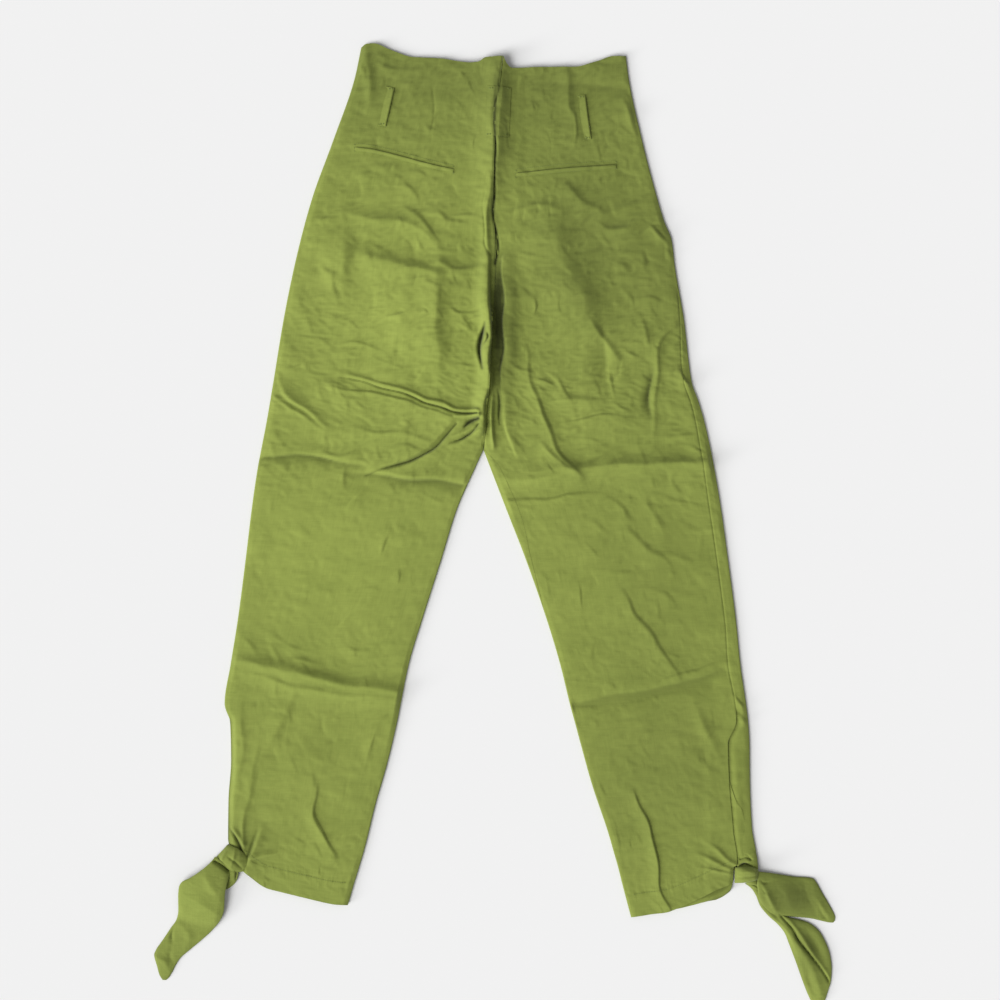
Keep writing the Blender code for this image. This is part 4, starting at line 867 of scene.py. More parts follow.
def linen(name, light=LINEN_LIGHT, dark=LINEN_DARK):
    """Matt plain-woven linen: slubby threads, small wrinkles, a soft bloom of loose fibre and the painted
    light and shade of each piece in its colour.
    """
    made, shader, add, maths = new_paint(name)
    place = add("ShaderNodeTexCoord").outputs["Object"]
    cut = add("ShaderNodeUVMap", uv_map="cut")
    weave = fill(add("ShaderNodeGroup", node_tree=plain_weave), Cut=cut.outputs[0], Threads=THREADS_PER_METRE)
    wrinkle = fill(add("ShaderNodeGroup", node_tree=rumple), Place=place)
    slub = maths("MULTIPLY", weave.outputs["Slub"], 1.1)
    cloud = maths("MULTIPLY", wrinkle.outputs["Cloud"], 0.6)
    tone = maths("SUBTRACT", maths("ADD", slub, cloud), 0.35)
    colour = fill(add("ShaderNodeMix", data_type="RGBA", clamp_factor=True), A=dark, B=light, Factor=tone)
    # the painted light and shade of each point scale the colour
    painted_shading = add("ShaderNodeAttribute", attribute_name="painted_shading")
    shaded_colour = fill(add("ShaderNodeVectorMath", operation="SCALE"), Vector=colour.outputs["Result"],
                 Scale=maths("ADD", painted_shading.outputs["Fac"], 1.0))
    folds = fill(add("ShaderNodeBump"), Strength=0.14, Distance=0.004, Height=wrinkle.outputs["Height"])
    threads = fill(add("ShaderNodeBump"), Strength=0.45, Distance=0.0004, Height=weave.outputs["Height"],
                   Normal=folds.outputs[0])
    fill(shader, Base_Color=shaded_colour.outputs[0], Roughness=0.85, Specular_IOR_Level=0.25, Sheen_Weight=0.12,
         Sheen_Roughness=0.5, Normal=threads.outputs[0])
    return made


def cloth_piece(name, node, grid, cut, material, flat, area=None, thickness=LINEN_THICKNESS,
                shown=1, step=2):
    """A sewn piece of cloth that stands for one of the solids."""
    piece = thin_shell(name, grid, cut, thickness, shown, step)
    piece.data.materials.append(material)
    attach(piece, "root")
    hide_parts(node)


linen_cloth = linen("olive_linen")
crinkles = strewn_creases(CRINKLES)
grids = {}
for side_name, half in (("left", LEFT), ("right", RIGHT)):
    grid, cut = back_grid(half)
    grids["back_" + side_name] = grid
    cloth_piece("back_panel_" + side_name, "back_" + side_name, grid, cut, linen_cloth,
                flat=(0.30, 1.03), area=0.21, step=4)


# --- Back pocket welts -----------------------------------------------------------------------------
# A narrow welt of the same linen closes each back pocket: a folded strip let into a slashed opening,
# its lower edge sewn down and its ends held by a short row of stitches.

Strip = namedtuple("Strip", "line width arch")
WELTS = {
    "welt_left": Strip([(-162, 432), (-142, 429.5), (-105, 420.5), (-75, 412.5), (-49, 407)], 4.4, 0.0),
    "welt_right": Strip([(23, 402), (80, 408), (138, 412)], 4.4, 0.0),
}
SEAM_REACH = 1.3        # reach sideways over the groove of a seam when a strip is laid across it
STRIP_LIFT = 0.06       # clearance under a strip that is laid on the panels
LIP_HEIGHT = 3.0        # how far the lower lip of a pocket stands up
SEAM_ABOVE = 7          # how far above a welt's middle line its seam runs
ENDS_BELOW = 4          # how far below that line the stitches at its ends go
END_ROWS = ((0, -0.6), (0, 0.3), (-1, -0.3), (-1, 0.6))     # which end, and how far aside of it
STITCH_PITCH = 2.8
STITCH_LENGTH = 2.1
STITCH_SIZES = (0.45, 1.0, 1.0, 0.45)   # a stitch's thickness from end to end, where it dips at both
THREAD_RADIUS = 0.2
THREAD_SIDES = 6


def surface_of(grid, lift=LINEN_THICKNESS / 2):
    """A tree of the outer face of a grid of cloth, to lay other pieces on."""
    corners = [Vector(p) for p in (grid + (0, 0, lift)).reshape(-1, 3)]
    index = np.arange(len(corners)).reshape(grid.shape[:2])
    return BVHTree.FromPolygons(corners, quads(index).tolist())


def height_on(trees, x, y):
    """The highest of the surfaces under a point, reaching over the groove of a seam."""
    highest = 0.0
    for tree in trees:
        for reach in (-SEAM_REACH, 0.0, SEAM_REACH):
            hit = tree.ray_cast(Vector((x + reach, y, 100.0)), Vector((0, 0, -1)))[0]
            if hit:
                highest = max(highest, hit.z)
    return highest


def flat_strip(share):
    return 1 - abs(share) ** 4


def pocket_lip(share):
    """The lower lip of a pocket: it rises from its seam to the opening and drops over its edge."""
    rising = float(smooth_step((share + 1) / 1.5))
    dropping = math.sqrt(max(0.0, 1 - max(0.0, (share - 0.6) / 0.4) ** 2))
    return LIP_HEIGHT * rising * dropping


def one_sided(share):
    """A loop pressed flat into the cloth along its left edge and lifted along its right one."""
    return (share - 0.1) * (1 - max(0.0, share) ** 10)


def strip_grid(strip, trees, rows, columns, rise, profile=flat_strip, thickness=LINEN_THICKNESS):
    """A folded strip laid on the panels, with a profile across, and its middle may stand off."""
    middle = smooth_line(strip.line, rows)
    ways = np.gradient(middle, axis=0)
    ways /= np.linalg.norm(ways, axis=1)[:, None]
    grid = np.zeros((rows, columns, 3))
    cut = np.zeros((rows, columns, 2))
    for r, (centre, way) in enumerate(zip(middle, ways)):
        t = r / (rows - 1)
        stand = strip.arch * math.sin(math.pi * t)
        for c in range(columns):
            share = 2 * c / (columns - 1) - 1
            off = strip.width * share / 2
            x, y = centre[0] - way[1] * off, centre[1] + way[0] * off
            round_off = rise * profile(share) * (1 - (2 * t - 1) ** 16)
            grid[r, c] = x, y, height_on(trees, x, y) + thickness / 2 + STRIP_LIFT + round_off + stand
            cut[r, c] = off, np.linalg.norm(centre - middle[0])
    return grid, cut


def stitch_row(name, lines, trees, material, pitch=STITCH_PITCH):
    """A row of short sewn threads along each line, sunk a little into the cloth they hold."""
    points, faces = [], []
    turns = np.arange(THREAD_SIDES) * math.pi * 2 / THREAD_SIDES
    ring = [(math.cos(turn), math.sin(turn)) for turn in turns]
    for line in lines:
        dense = smooth_line(line, 60)
        reach = np.append(0, np.cumsum(np.linalg.norm(np.diff(dense, axis=0), axis=1)))
        count = max(1, int(reach[-1] / pitch))
        for k in range(count):
            ends = (k + 0.5) * reach[-1] / count + np.array([-0.5, -0.17, 0.17, 0.5]) * STITCH_LENGTH
            xy = np.stack([np.interp(ends, reach, dense[:, j]) for j in (0, 1)], axis=1)
            way = xy[-1] - xy[0]
            way /= max(np.linalg.norm(way), 1e-6)
            index = len(points) + np.arange(4 * THREAD_SIDES).reshape(4, THREAD_SIDES)
            for (x, y), size in zip(xy, STITCH_SIZES):
                z = height_on(trees, x, y) + THREAD_RADIUS * (0.9 if size == 1.0 else -0.2)
                for a, b in ring:
                    radius = THREAD_RADIUS * size
                    points.append((x - way[1] * a * radius, y + way[0] * a * radius, z + b * radius))
            faces += quads(np.append(index, index[:, :1], axis=1)).tolist()
            faces += [index[0, ::-1].tolist(), index[-1].tolist()]
    mesh = bpy.data.meshes.new(name)
    mesh.from_pydata((np.array(points) * MM).tolist(), [], faces)
    mesh.shade_smooth()
    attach(new_piece(name, mesh, material), "root")


def sewing_thread(name):
    """Polyester thread in the colour of the cloth, twisted, with a slight gloss."""
    made, shader, add, maths = new_paint(name)
    place = add("ShaderNodeTexCoord").outputs["Object"]
    twist = add("ShaderNodeTexWave", wave_type="BANDS", bands_direction="DIAGONAL")
    fill(twist, Scale=900.0, Vector=place)
    colour = fill(add("ShaderNodeMix", data_type="RGBA"), A=(0.16, 0.21, 0.045, 1.0),
                  B=(0.25, 0.31, 0.075, 1.0), Factor=twist.outputs[0])
    bump = fill(add("ShaderNodeBump"), Strength=0.45, Distance=0.0002, Height=twist.outputs[0])
    fill(shader, Base_Color=colour.outputs["Result"], Roughness=0.55, Normal=bump.outputs[0])
    return made


thread = sewing_thread("olive_thread")
on_backs = [surface_of(grids["back_left"]), surface_of(grids["back_right"])]
for node, welt in WELTS.items():
    side_name = node.split("_")[1]
    grid, cut = strip_grid(welt, on_backs, rows=90, columns=17, rise=0.3, profile=pocket_lip)
    cloth_piece("pocket_" + node, node, grid, cut, linen_cloth, flat=(0.01, 0.118), area=0.00085)
    line = np.array(welt.line)
    rows = [[tuple(line[end] + (aside, SEAM_ABOVE)), tuple(line[end] + (aside, -ENDS_BELOW))]
            for end, aside in END_ROWS]
    stitch_row("welt_stitches_" + side_name, rows, on_backs, thread)
    stitch_row("welt_seam_" + side_name, [[tuple(p) for p in line + (0, SEAM_ABOVE)]], on_backs, thread, 2.4)


# --- Belt loops ------------------------------------------------------------------------------------
# Three loops at the back of the waist, each a strip of linen folded in three, edge-stitched and
# tacked down at both ends with a dense bar of thread. The wide middle one sits over the centre seam.

BELT_LOOPS = {
    "belt_loop_left": Strip([(-121, 503), (-126, 481), (-131, 459)], 9, 0.6),
    "belt_loop_right": Strip([(98, 494), (101, 469), (105, 443)], 9, 0.6),
    "belt_loop_centre": Strip([(3.6, 503), (2, 474), (1, 446)], 28, 0.0),
}
Make = namedtuple("Make", "thickness rise profile columns")
NARROW_LOOP = Make(0.9, 1.7, one_sided, 17)
WIDE_LOOP = Make(0.3, 0.1, flat_strip, 33)
TACK_INSET = 1.4        # how far in from a loop's sides its tacks end
TACK_ROWS = 3
TACK_APART = 0.5
for node, loop in BELT_LOOPS.items():
    wide = loop.width > 20
    make = WIDE_LOOP if wide else NARROW_LOOP
    grid, cut = strip_grid(loop, on_backs, 50, make.columns, make.rise, make.profile, make.thickness)
    cloth_piece(node.replace("belt_loop", "waist_loop"), node, grid, cut, linen_cloth,
                flat=(max(loop.width, 10) * MM, 0.06), area=loop.width * 60e-6,
                thickness=make.thickness)
    inset = loop.width / 2 - TACK_INSET
    tacks = [(-inset, -inset + 6), (inset - 4, inset)] if wide else [(-inset, inset)]
    rows = []
    for end, inward in ((0, -2.0), (2, 2.0)):
        x, foot = loop.line[end]
        for k in range(TACK_ROWS):
            y = foot + inward + (k - 1) * TACK_APART
            rows += [[(x + first, y), (x + last, y)] for first, last in tacks]
    on_loop = [surface_of(grid, make.thickness / 2)]
    stitch_row(node.replace("belt_loop", "loop_stitches"), rows, on_loop, thread, 2.2)


# --- Front panels ----------------------------------------------------------------------------------
# The two front panels lie underneath on the surface, face down, and come round both side edges to
# meet the back panels. They are joined to each other by the centre front seam.

FRONT_BASE = np.array([0, 0.12, 0.25, 0.4, 0.55, 0.72, 0.9, 1.1, 1.35, 1.6, 1.9, 2.3, 2.7, 3.2, 3.8, 4.5,
                       5.3, 6.2, 7.2, 8.4, 9.8, 11.4, 13.0, 14.6])
LAP_COLUMNS = 12
BEND_COLUMNS = 8
ON_THE_FLOOR = np.array([1.0, 2.5, 5.0, 9.0])
FRONT_BETWEEN = 24
FRONT_SEAM_HALF = 0.02  # the centre front seam is closed


def front_turns(arc):
    """Distances from the seam of the columns at a front panel's edge, by arc length: close to the
    seam where that is on the bend, and round the bend where the front laps onto the top."""
    flat = arc - HALF_TURN
    lap = flat * np.linspace(0, 1, LAP_COLUMNS, endpoint=False)
    bend = flat + HALF_TURN * np.linspace(0, 1, BEND_COLUMNS)
    lapped = np.concatenate([lap, bend, arc + ON_THE_FLOOR], axis=1)
    return blend(FRONT_BASE, lapped, smooth_step(flat / CLIMB))


TUCK = 3.0              # how far the rolled slit edge goes in under the back panel's
SINK = 1.8              # how much lower than the back panel it lies there
HEM_ROLL = Crease([(273, -414), (262, -422), (250, -426.5), (235, -432), (217, -438), (198, -444)], 3, 5, 2,
                  1.5, 3.5, 1.8)


def front_grid(half):
    """Points of the middle of a front panel, flat on the surface and turned up at its edges. The
    slit of the right one stays rolled onto the top, and its hem curls a little at that corner."""
    rows, places, closed = panel_rows(half)
    slit = smooth_step(rows.slit * 2)
    rolled = slit * smooth_step((rows.out_y - half.rolled_to) / 10) if half.rolled_to else 0 * slit
    opened = (slit - rolled)[:, None]
    rolled = rolled[:, None]
    slit = slit[:, None]
    lap_out = rows.lap_out[:, None]
    closed = closed[:, None]
    arc_out = seam_arc(lap_out) - SEAM_HALF + TUCK * rolled
    turns_out = front_turns(arc_out)
    across_tube, height_out = bent(arc_out - turns_out)
    across_out = blend(across_tube, half.front_inset + FRONT_BASE, opened)
    arc_in = seam_arc(rows.lap_in[:, None]) - SEAM_HALF
    turns_in = front_turns(arc_in)
    across_bent, height_in = bent(arc_in - turns_in)
    across_in = blend(FRONT_SEAM_HALF - FLOOR_MID + FRONT_BASE, across_bent, closed)
    x, y, from_out, from_in = place_grid(
        half, rows, places, across_out, across_in, FRONT_BETWEEN, FRONT_WAIST, half.front_hem
    )
    z = FLOOR_MID + crease_height(HEM_ROLL, x, y)
    n = len(FRONT_BASE)
    lying = top_height(x, y, np.minimum(from_out, from_in))
    lying += sewn_relief(x, y, from_out, from_in, lap_out, rows, slit, closed)
    lying -= SINK * rolled * smooth_step((from_out - lap_out + 9) / 9)
    lapped = arc_out - turns_out > HALF_TURN
    z[:, :n] = blend(np.where(lapped, lying[:, :n], height_out), z[:, :n], opened)
    lapped = arc_in - turns_in > HALF_TURN
    inner = np.where(lapped, lying[:, -n:][:, ::-1], height_in)
    z[:, -n:] = blend(FLOOR_MID, inner, closed)[:, ::-1]
    cut = np.stack([from_out - from_out[:, -1:] / 2, np.repeat(places[:, None], x.shape[1], 1)], axis=2)
    return np.stack([x, y, z], axis=2), cut


for side_name, half in (("left", LEFT), ("right", RIGHT)):
    grid, cut = front_grid(half)
    grids["front_" + side_name] = grid
    cloth_piece("front_panel_" + side_name, "front_" + side_name, grid, cut, linen_cloth,
                flat=(0.30, 1.03), area=0.2, shown=-1)


# --- Pocket bags -----------------------------------------------------------------------------------
# The bags of the two side pockets hang flat between front and back. They are cut from the same
# linen, and are caught in the side seams.

PIECE_MID = 1.5         # height of the middle of a piece between front and back
Span = namedtuple("Span", "y left right")
POCKET_BAG = [Span(328, 116, 186), Span(300, 113, 190), Span(250, 110, 202), Span(200, 109, 212),
              Span(150, 111, 214), Span(122, 120, 208), Span(108, 136, 190)]


def span_grid(spans, rows, columns, side=1):
    """A flat piece between front and back; side -1 mirrors it to the left half."""
    table = smooth_line(spans, rows)
    share = np.linspace(0, 1, columns)
    x = table[:, 1:2] + (table[:, 2:3] - table[:, 1:2]) * share
    y = np.repeat(table[:, :1], columns, axis=1)
    return np.stack([side * x, y, np.full(x.shape, PIECE_MID)], axis=2), np.stack([x, y], axis=2)


hidden_linen = linen("hidden_linen", (0.27, 0.32, 0.075, 1.0), (0.19, 0.235, 0.05, 1.0))
for side_name, side in (("left", -1), ("right", 1)):
    grid, cut = span_grid(POCKET_BAG, 40, 18, side)
    cloth_piece("side_pocket_bag_" + side_name, "pocket_bag_" + side_name, grid, cut, hidden_linen,
                flat=(0.1, 0.22), area=0.0205, thickness=0.6)


# --- Fly zip ---------------------------------------------------------------------------------------
# A closed coil zip behind the centre front seam: two woven tapes, a coil of nylon teeth on each and
# a small metal slider at the top.

ZIP_TOP = 518.0
ZIP_FOOT = 360.0
TAPE_HALF = 13.0
TOOTH_PITCH = 2.4
TOOTH = (1.9, 0.55, 0.4)    # half sizes of a tooth
TEETH_LIFT = 0.7        # height of the teeth over the middle of the tape
SLIDER_AT = ZIP_TOP - 3
SLIDER_BEVEL = 0.16

# The flat parts of the slider: their outlines across and along the chain, and their heights.
SliderPart = namedtuple("SliderPart", "outline low high")
PLATE = [(-4.2, 0), (-4.4, -2.5), (-3.2, -8.5), (3.2, -8.5), (4.4, -2.5), (4.2, 0), (1.4, 0.8), (-1.4, 0.8)]
PULL = [(-1.8, -2), (-2.6, -9), (-2.8, -17), (-1.6, -19), (1.6, -19), (2.8, -17), (2.6, -9), (1.8, -2)]
BRIDGE = [(-1.0, -0.6), (-1.0, -5.2), (1.0, -5.2), (1.0, -0.6)]
SLIDER = [SliderPart(PLATE, 0.95, 1.2), SliderPart(PLATE, 2.65, 3.1), SliderPart(BRIDGE, 3.0, 3.9),
          SliderPart(PULL, 3.15, 3.55)]


def zip_tapes():
    """Both tapes as one grid, a little raised in the middle by the teeth."""
    ys = np.linspace(ZIP_TOP, ZIP_FOOT, 60)
    off = np.linspace(-TAPE_HALF, TAPE_HALF, 14)
    x = centre_x(ys)[:, None] + off
    y = np.repeat(ys[:, None], len(off), 1)
    rise = 0.3 * np.exp(-(off / 3.2) ** 4)
    tape = np.stack([x, y, PIECE_MID + np.broadcast_to(rise, x.shape)], axis=2)
    return tape, np.stack([np.broadcast_to(off, x.shape), y], axis=2)


def zip_part(name, bm, material, smooth):
    """A part of the zip from what was built in bm."""
    mesh = bpy.data.meshes.new(name)
    bm.to_mesh(mesh)
    bm.free()
    if smooth:
        mesh.shade_smooth()
    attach(new_piece(name, mesh, material), "root")


def zip_teeth(name, material):
    """Interlocked teeth as short rounded bars that reach over the middle from both tapes in turn."""
    bm = bmesh.new()
    for k, y in enumerate(np.arange(ZIP_FOOT + 3, ZIP_TOP - 6, TOOTH_PITCH / 2)):
        side = 1 if k % 2 else -1
        at = np.array([float(centre_x(np.array([y]))[0]) + side * 0.9, y, PIECE_MID + TEETH_LIFT])
        for vert in bmesh.ops.create_uvsphere(bm, u_segments=8, v_segments=5, radius=1.0)["verts"]:
            vert.co = Vector(at + np.array(vert.co) * TOOTH) * MM
    zip_part(name, bm, material, smooth=True)


def zip_slider(name, material):
    """The slider at the top of the closed chain: two plates round the teeth, a bridge and the pull,
    which lies down along the chain."""
    bm = bmesh.new()
    x = float(centre_x(np.array([ZIP_TOP]))[0])
    for part in SLIDER:
        rings = [[bm.verts.new(Vector((x + a, SLIDER_AT + b, z)) * MM) for a, b in part.outline]
                 for z in (part.low, part.high)]
        made = [bm.faces.new(rings[0]), bm.faces.new(rings[1][::-1])]
        for k in range(len(part.outline)):
            n = (k + 1) % len(part.outline)
            made.append(bm.faces.new((rings[0][n], rings[0][k], rings[1][k], rings[1][n])))
        edges = list({edge for face in made[:2] for edge in face.edges})
        bevel = SLIDER_BEVEL * MM * min(1.0, part.high - part.low)
        bmesh.ops.bevel(bm, geom=edges, offset=bevel, segments=2, affect="EDGES")
    bmesh.ops.recalc_face_normals(bm, faces=bm.faces)
    zip_part(name, bm, material, smooth=False)


def slider_paint(name):
    """Enamelled zinc in the colour of the tape, worn a little glossier in cloudy patches."""
    made, shader, add, maths = new_paint(name)
    place = add("ShaderNodeTexCoord").outputs["Object"]
    clouds = fill(add("ShaderNodeTexNoise"), Scale=600.0, Vector=place).outputs[0]
    colour = fill(add("ShaderNodeMix", data_type="RGBA"), A=(0.16, 0.2, 0.05, 1.0), B=(0.2, 0.25, 0.07, 1.0),
                  Factor=clouds)
    gloss = maths("ADD", maths("MULTIPLY", clouds, 0.2), 0.25)
    fill(shader, Base_Color=colour.outputs["Result"], Roughness=gloss)
    return made


zip_tape = linen("zip_tape", (0.21, 0.26, 0.07, 1.0), (0.16, 0.2, 0.05, 1.0))
grid, cut = zip_tapes()
cloth_piece("fly_zip_tape", "fly_zip", grid, cut, zip_tape, flat=(0.026, 0.158),
            thickness=0.5)
zip_teeth("fly_zip_teeth", thread)
zip_slider("fly_zip_slider", slider_paint("zip_slider_paint"))


# --- Slit facing -----------------------------------------------------------------------------------
# The facing that backs the open slit of the right leg shows between its two edges. It is a strip
# of the same linen, sewn to the front panel's edge and free at the other.

SLIT_FACING = [Span(-289, 263, 267), Span(-305, 263, 271.5), Span(-318, 263, 276.5), Span(-326, 263, 282),
               Span(-345, 264, 285.5), Span(-368, 266, 286), Span(-384, 268, 287)]
FACING_SINKS = 0.6      # how much its free edge sinks into the cloth below, further down
FACING_LIFT = 0.25      # height of its middle over the front panel
grid, cut = span_grid(SLIT_FACING, 60, 24)
on_front = [surface_of(grids["front_right"])]
for row in grid:
    lower = smooth_step((-325 - row[0, 1]) / 12)
    for k, point in enumerate(row):
        sunk = FACING_SINKS * lower * smooth_step((k - 13) / 10)
        point[2] = height_on(on_front, point[0], point[1]) + FACING_LIFT - sunk
cloth_piece("slit_facing", "slit_facing_right", grid, cut, linen_cloth, flat=(0.03, 0.092),
            area=0.0019, thickness=0.4)


# --- Hem stitching ---------------------------------------------------------------------------------
# The hems of the legs are turned up 28 mm and topstitched with thread in the colour of the
# cloth. The stitches lie in the groove that they draw into the panels.

for side_name in ("left", "right"):
    grid = grids["back_" + side_name]
    hem = grid[-1, 4:-3:8, :2] + (0, STITCHED_AT)
    stitch_row("hem_stitches_" + side_name, [[tuple(p) for p in hem]], on_backs, thread)


# --- Ankle ties ------------------------------------------------------------------------------------
# Two broad pointed ties at each ankle, each bagged out of two layers of linen and pressed, that
# leave the hem corners of the slit and are knotted together.

# Each tie with its flat size and area, its rows from the knot to the point (x and y of the left
# edge, x and y of the right edge, height in the middle and at the edges) and its own creases.
Tie = namedtuple("Tie", "width length area rows creases")
TIES = {
    "tie_left_upper": Tie(0.055, 0.16, 0.0062, [
        (-322, -380.1, -303.6, -395, 6, 4), (-326.6, -385.8, -305.9, -400.8, 9.5, 6),
        (-333.5, -392.1, -307.6, -406.5, 11, 7.5), (-342.7, -399, -309.3, -413.4, 11.6, 8.2),
        (-351.9, -404.8, -311.1, -422.6, 11.4, 8), (-359.9, -408.8, -311.6, -433, 10.6, 7.2),
        (-363.6, -415.7, -312.2, -439.9, 9.6, 6.2), (-364.5, -427.2, -313.9, -446.8, 8.4, 5),
        (-364.5, -441, -318, -454.8, 6.8, 3.4), (-366.8, -452.5, -327.8, -466.3, 3.8, 1.2),
        (-373.7, -462.9, -339.8, -477.2, 3.6, 1.2), (-382.9, -476.7, -353, -488.2, 3.4, 1.1),
        (-390.4, -487.6, -362.8, -496.8, 3.2, 1), (-392.6, -493.9, -368, -504.3, 3, 0.9),
        (-389.3, -506.6, -372.6, -513.5, 2.4, 0.8), (-386.4, -516.9, -376.6, -519.8, 1.6, 0.6),
        (-382.9, -522.4, -379.5, -522.4, 0.8, 0.5),
    ], [
        ([(-359, -423), (-340, -432), (-323, -444), (-315, -447)], 0.5, 2.2, 1.4, 12, 9, 1.4),
        ([(-325, -384), (-315, -390), (-305, -398)], -4, -5, -4, 1.6, 1.6, 1.8),
        ([(-371, -463), (-373, -472), (-371, -481)], -0.4, -1.8, -0.3, 1.6, 1.8, 1.6),
        ([(-366, -456), (-352, -472), (-359, -488)], 0.3, 1.4, 0.3, 4, 7, 1.6),
        ([(-389, -497), (-380, -502), (-375, -514)], 0.3, 1.2, 0.3, 3, 4, 1.6),
        ([(-335, -398), (-327, -412), (-317, -426)], 0.4, 1.6, 0.4, 6, 5, 1.7),
        ([(-373, -484), (-375, -495), (-370, -502)], -0.3, -1.1, -0.2, 3, 3, 1.6),
    ]),
    "tie_left_lower": Tie(0.04, 0.1, 0.0026, [
        (-316, -382.7, -310, -389.2, 0.5, 0.5), (-345, -412, -318, -420, 0.5, 0.5),
        (-356, -425, -320, -436, 0.5, 0.5), (-358, -446, -335, -454, 0.5, 0.5),
        (-370, -468, -352, -473, 0.5, 0.5), (-374, -480, -364, -482, 0.5, 0.5),
    ], []),
    "tie_right_upper": Tie(0.05, 0.09, 0.0032, [
        (300.1, -397.3, 299.6, -412.3, 8, 4), (303.6, -397.7, 300.7, -418, 8, 5),
        (310.5, -398.5, 302.4, -428.4, 7.5, 4), (319.7, -399.9, 309.3, -438.7, 6.8, 3.2),
        (331.2, -401.9, 320.8, -447.3, 6, 2.2), (345, -404, 335.8, -448.8, 5.2, 1.4),
        (356.5, -404.6, 349.6, -450, 4.6, 1), (364, -405.9, 362.2, -451.4, 4, 0.8),
        (368.6, -411.1, 369.1, -452.9, 3.4, 0.7), (373.7, -420.3, 376, -454.6, 2.8, 0.6),
        (381.8, -434.1, 382.9, -456, 2, 0.6), (388.1, -445.6, 387, -456.3, 1.2, 0.5),
        (389.8, -450.2, 389.3, -454.2, 0.7, 0.5),
    ], [
        ([(306, -412), (313, -427), (323, -447)], 1, 2.6, 1, 4, 3, 1.5),
        ([(352, -406), (357, -425), (370, -449)], -0.4, -1.3, -0.3, 7, 9, 1.4),
        ([(322, -410), (334, -424), (338, -443)], 0.3, 1.3, 0.3, 9, 6, 1.5),
        ([(368, -428), (375, -439), (384, -451)], 0.3, 1.4, 0.3, 4, 5, 1.6),
        ([(370, -436), (377, -449), (382, -455)], -0.3, -1, -0.2, 3, 3, 1.6),
        ([(304, -408), (308, -410), (314, -409)], -0.5, -1.6, -0.3, 1.5, 1.5, 1.6),
        ([(306, -418), (309, -421), (312, -419)], -0.3, -1.2, -0.2, 1.3, 1.3, 1.6),
    ]),
    "tie_right_lower": Tie(0.048, 0.165, 0.0052, [
        (286.3, -411.1, 300.1, -412.3, 4, 1.5), (293.2, -416.3, 308.2, -422.6, 4.5, 1.5),
        (299, -424.9, 316.2, -434.1, 5, 1.4), (303.6, -436.4, 324.3, -443.3, 4.2, 1.3),
        (312.8, -447.9, 335.8, -450.2, 4.2, 1.2), (324.3, -458.3, 348.4, -453.1, 4.2, 1.1),
        (332.3, -468.6, 358.8, -456.5, 4.2, 1.1), (336.9, -480.1, 370.3, -465.2, 4.2, 1.1),
        (341.5, -492.2, 378.3, -478.4, 4.2, 1.2), (345.6, -503.1, 383.5, -492.8, 4.2, 1.2),
        (349.6, -514.6, 385.6, -508.9, 4, 1.2), (354.2, -527.3, 384.7, -522.7, 3.6, 1.1),
        (358.8, -538.8, 381.2, -535.3, 3.6, 1), (363.4, -548, 377.8, -545.7, 2.6, 0.8),
        (368.6, -554.9, 372.6, -554.3, 1, 0.5),
    ], [
        ([(328, -449), (342, -465), (346, -474), (362, -494), (373, -508), (383, -524)],
         -2, -4.2, -2.6, 1.2, 1.6, 1.8),
        ([(334, -449), (350, -470), (367, -497), (383, -518)], 0.8, 2.2, 1.2, 2, 2.6, 1.5),
        ([(322, -451), (336, -468), (351, -489), (367, -517), (373, -539)], 1, 2.6, 1, 5, 9, 1.6),
        ([(356, -465), (366, -481), (375, -497)], -0.6, -2.4, -0.6, 5, 5, 1.8),
        ([(309, -435), (320, -447), (329, -458)], -0.5, -1.6, -0.5, 3, 3, 1.8),
        ([(353, -500), (359, -520), (366, -539)], -0.3, -1, -0.3, 4, 4, 1.8),
    ]),
}
TIE_COLUMNS = 49
TIE_LINES = 150
PILLOW = 0.34           # how soon a tie reaches its full height in from its edge: 1 round, 0 flat
TIE_CRUMPLE = 0.55      # how crumpled it is beside the panels


def tie_grid(rows, creases, lines=TIE_LINES, columns=TIE_COLUMNS):
    """A stretch of tie or knot between its two edges, fuller in the middle, with its own creases."""
    table = smooth_line(rows, lines)
    share = (1 - np.cos(math.pi * np.linspace(0, 1, columns))) / 2
    x = table[:, :1] + (table[:, 2:3] - table[:, :1]) * share
    y = table[:, 1:2] + (table[:, 3:4] - table[:, 1:2]) * share
    z = table[:, 5:6] + (table[:, 4:5] - table[:, 5:6]) * np.sin(math.pi * share) ** PILLOW
    firm = np.clip(table[:, 4:5] / 2 - 0.4, 0, 1) * smooth_step(np.sin(math.pi * share) * 2.5)
    folds = sum(crease_height(Crease(*crease), x, y) for crease in creases)
    z = z + firm * (folds + TIE_CRUMPLE * crumple(x * 1.8, y * 1.8))
    return np.stack([x, y, np.maximum(z, FLOOR_MID)], axis=2), np.stack([x, y], axis=2)


for node, tie in TIES.items():
    grid, cut = tie_grid(tie.rows, tie.creases)
    cloth_piece("ankle_" + node, node, grid, cut, linen_cloth, (tie.width, tie.length), tie.area)


# --- Knots -----------------------------------------------------------------------------------------
# Where the two ties of an ankle cross, one goes round the other as a tight band, over the gathered
# corner of the hem, and small folds stand out above and below it.

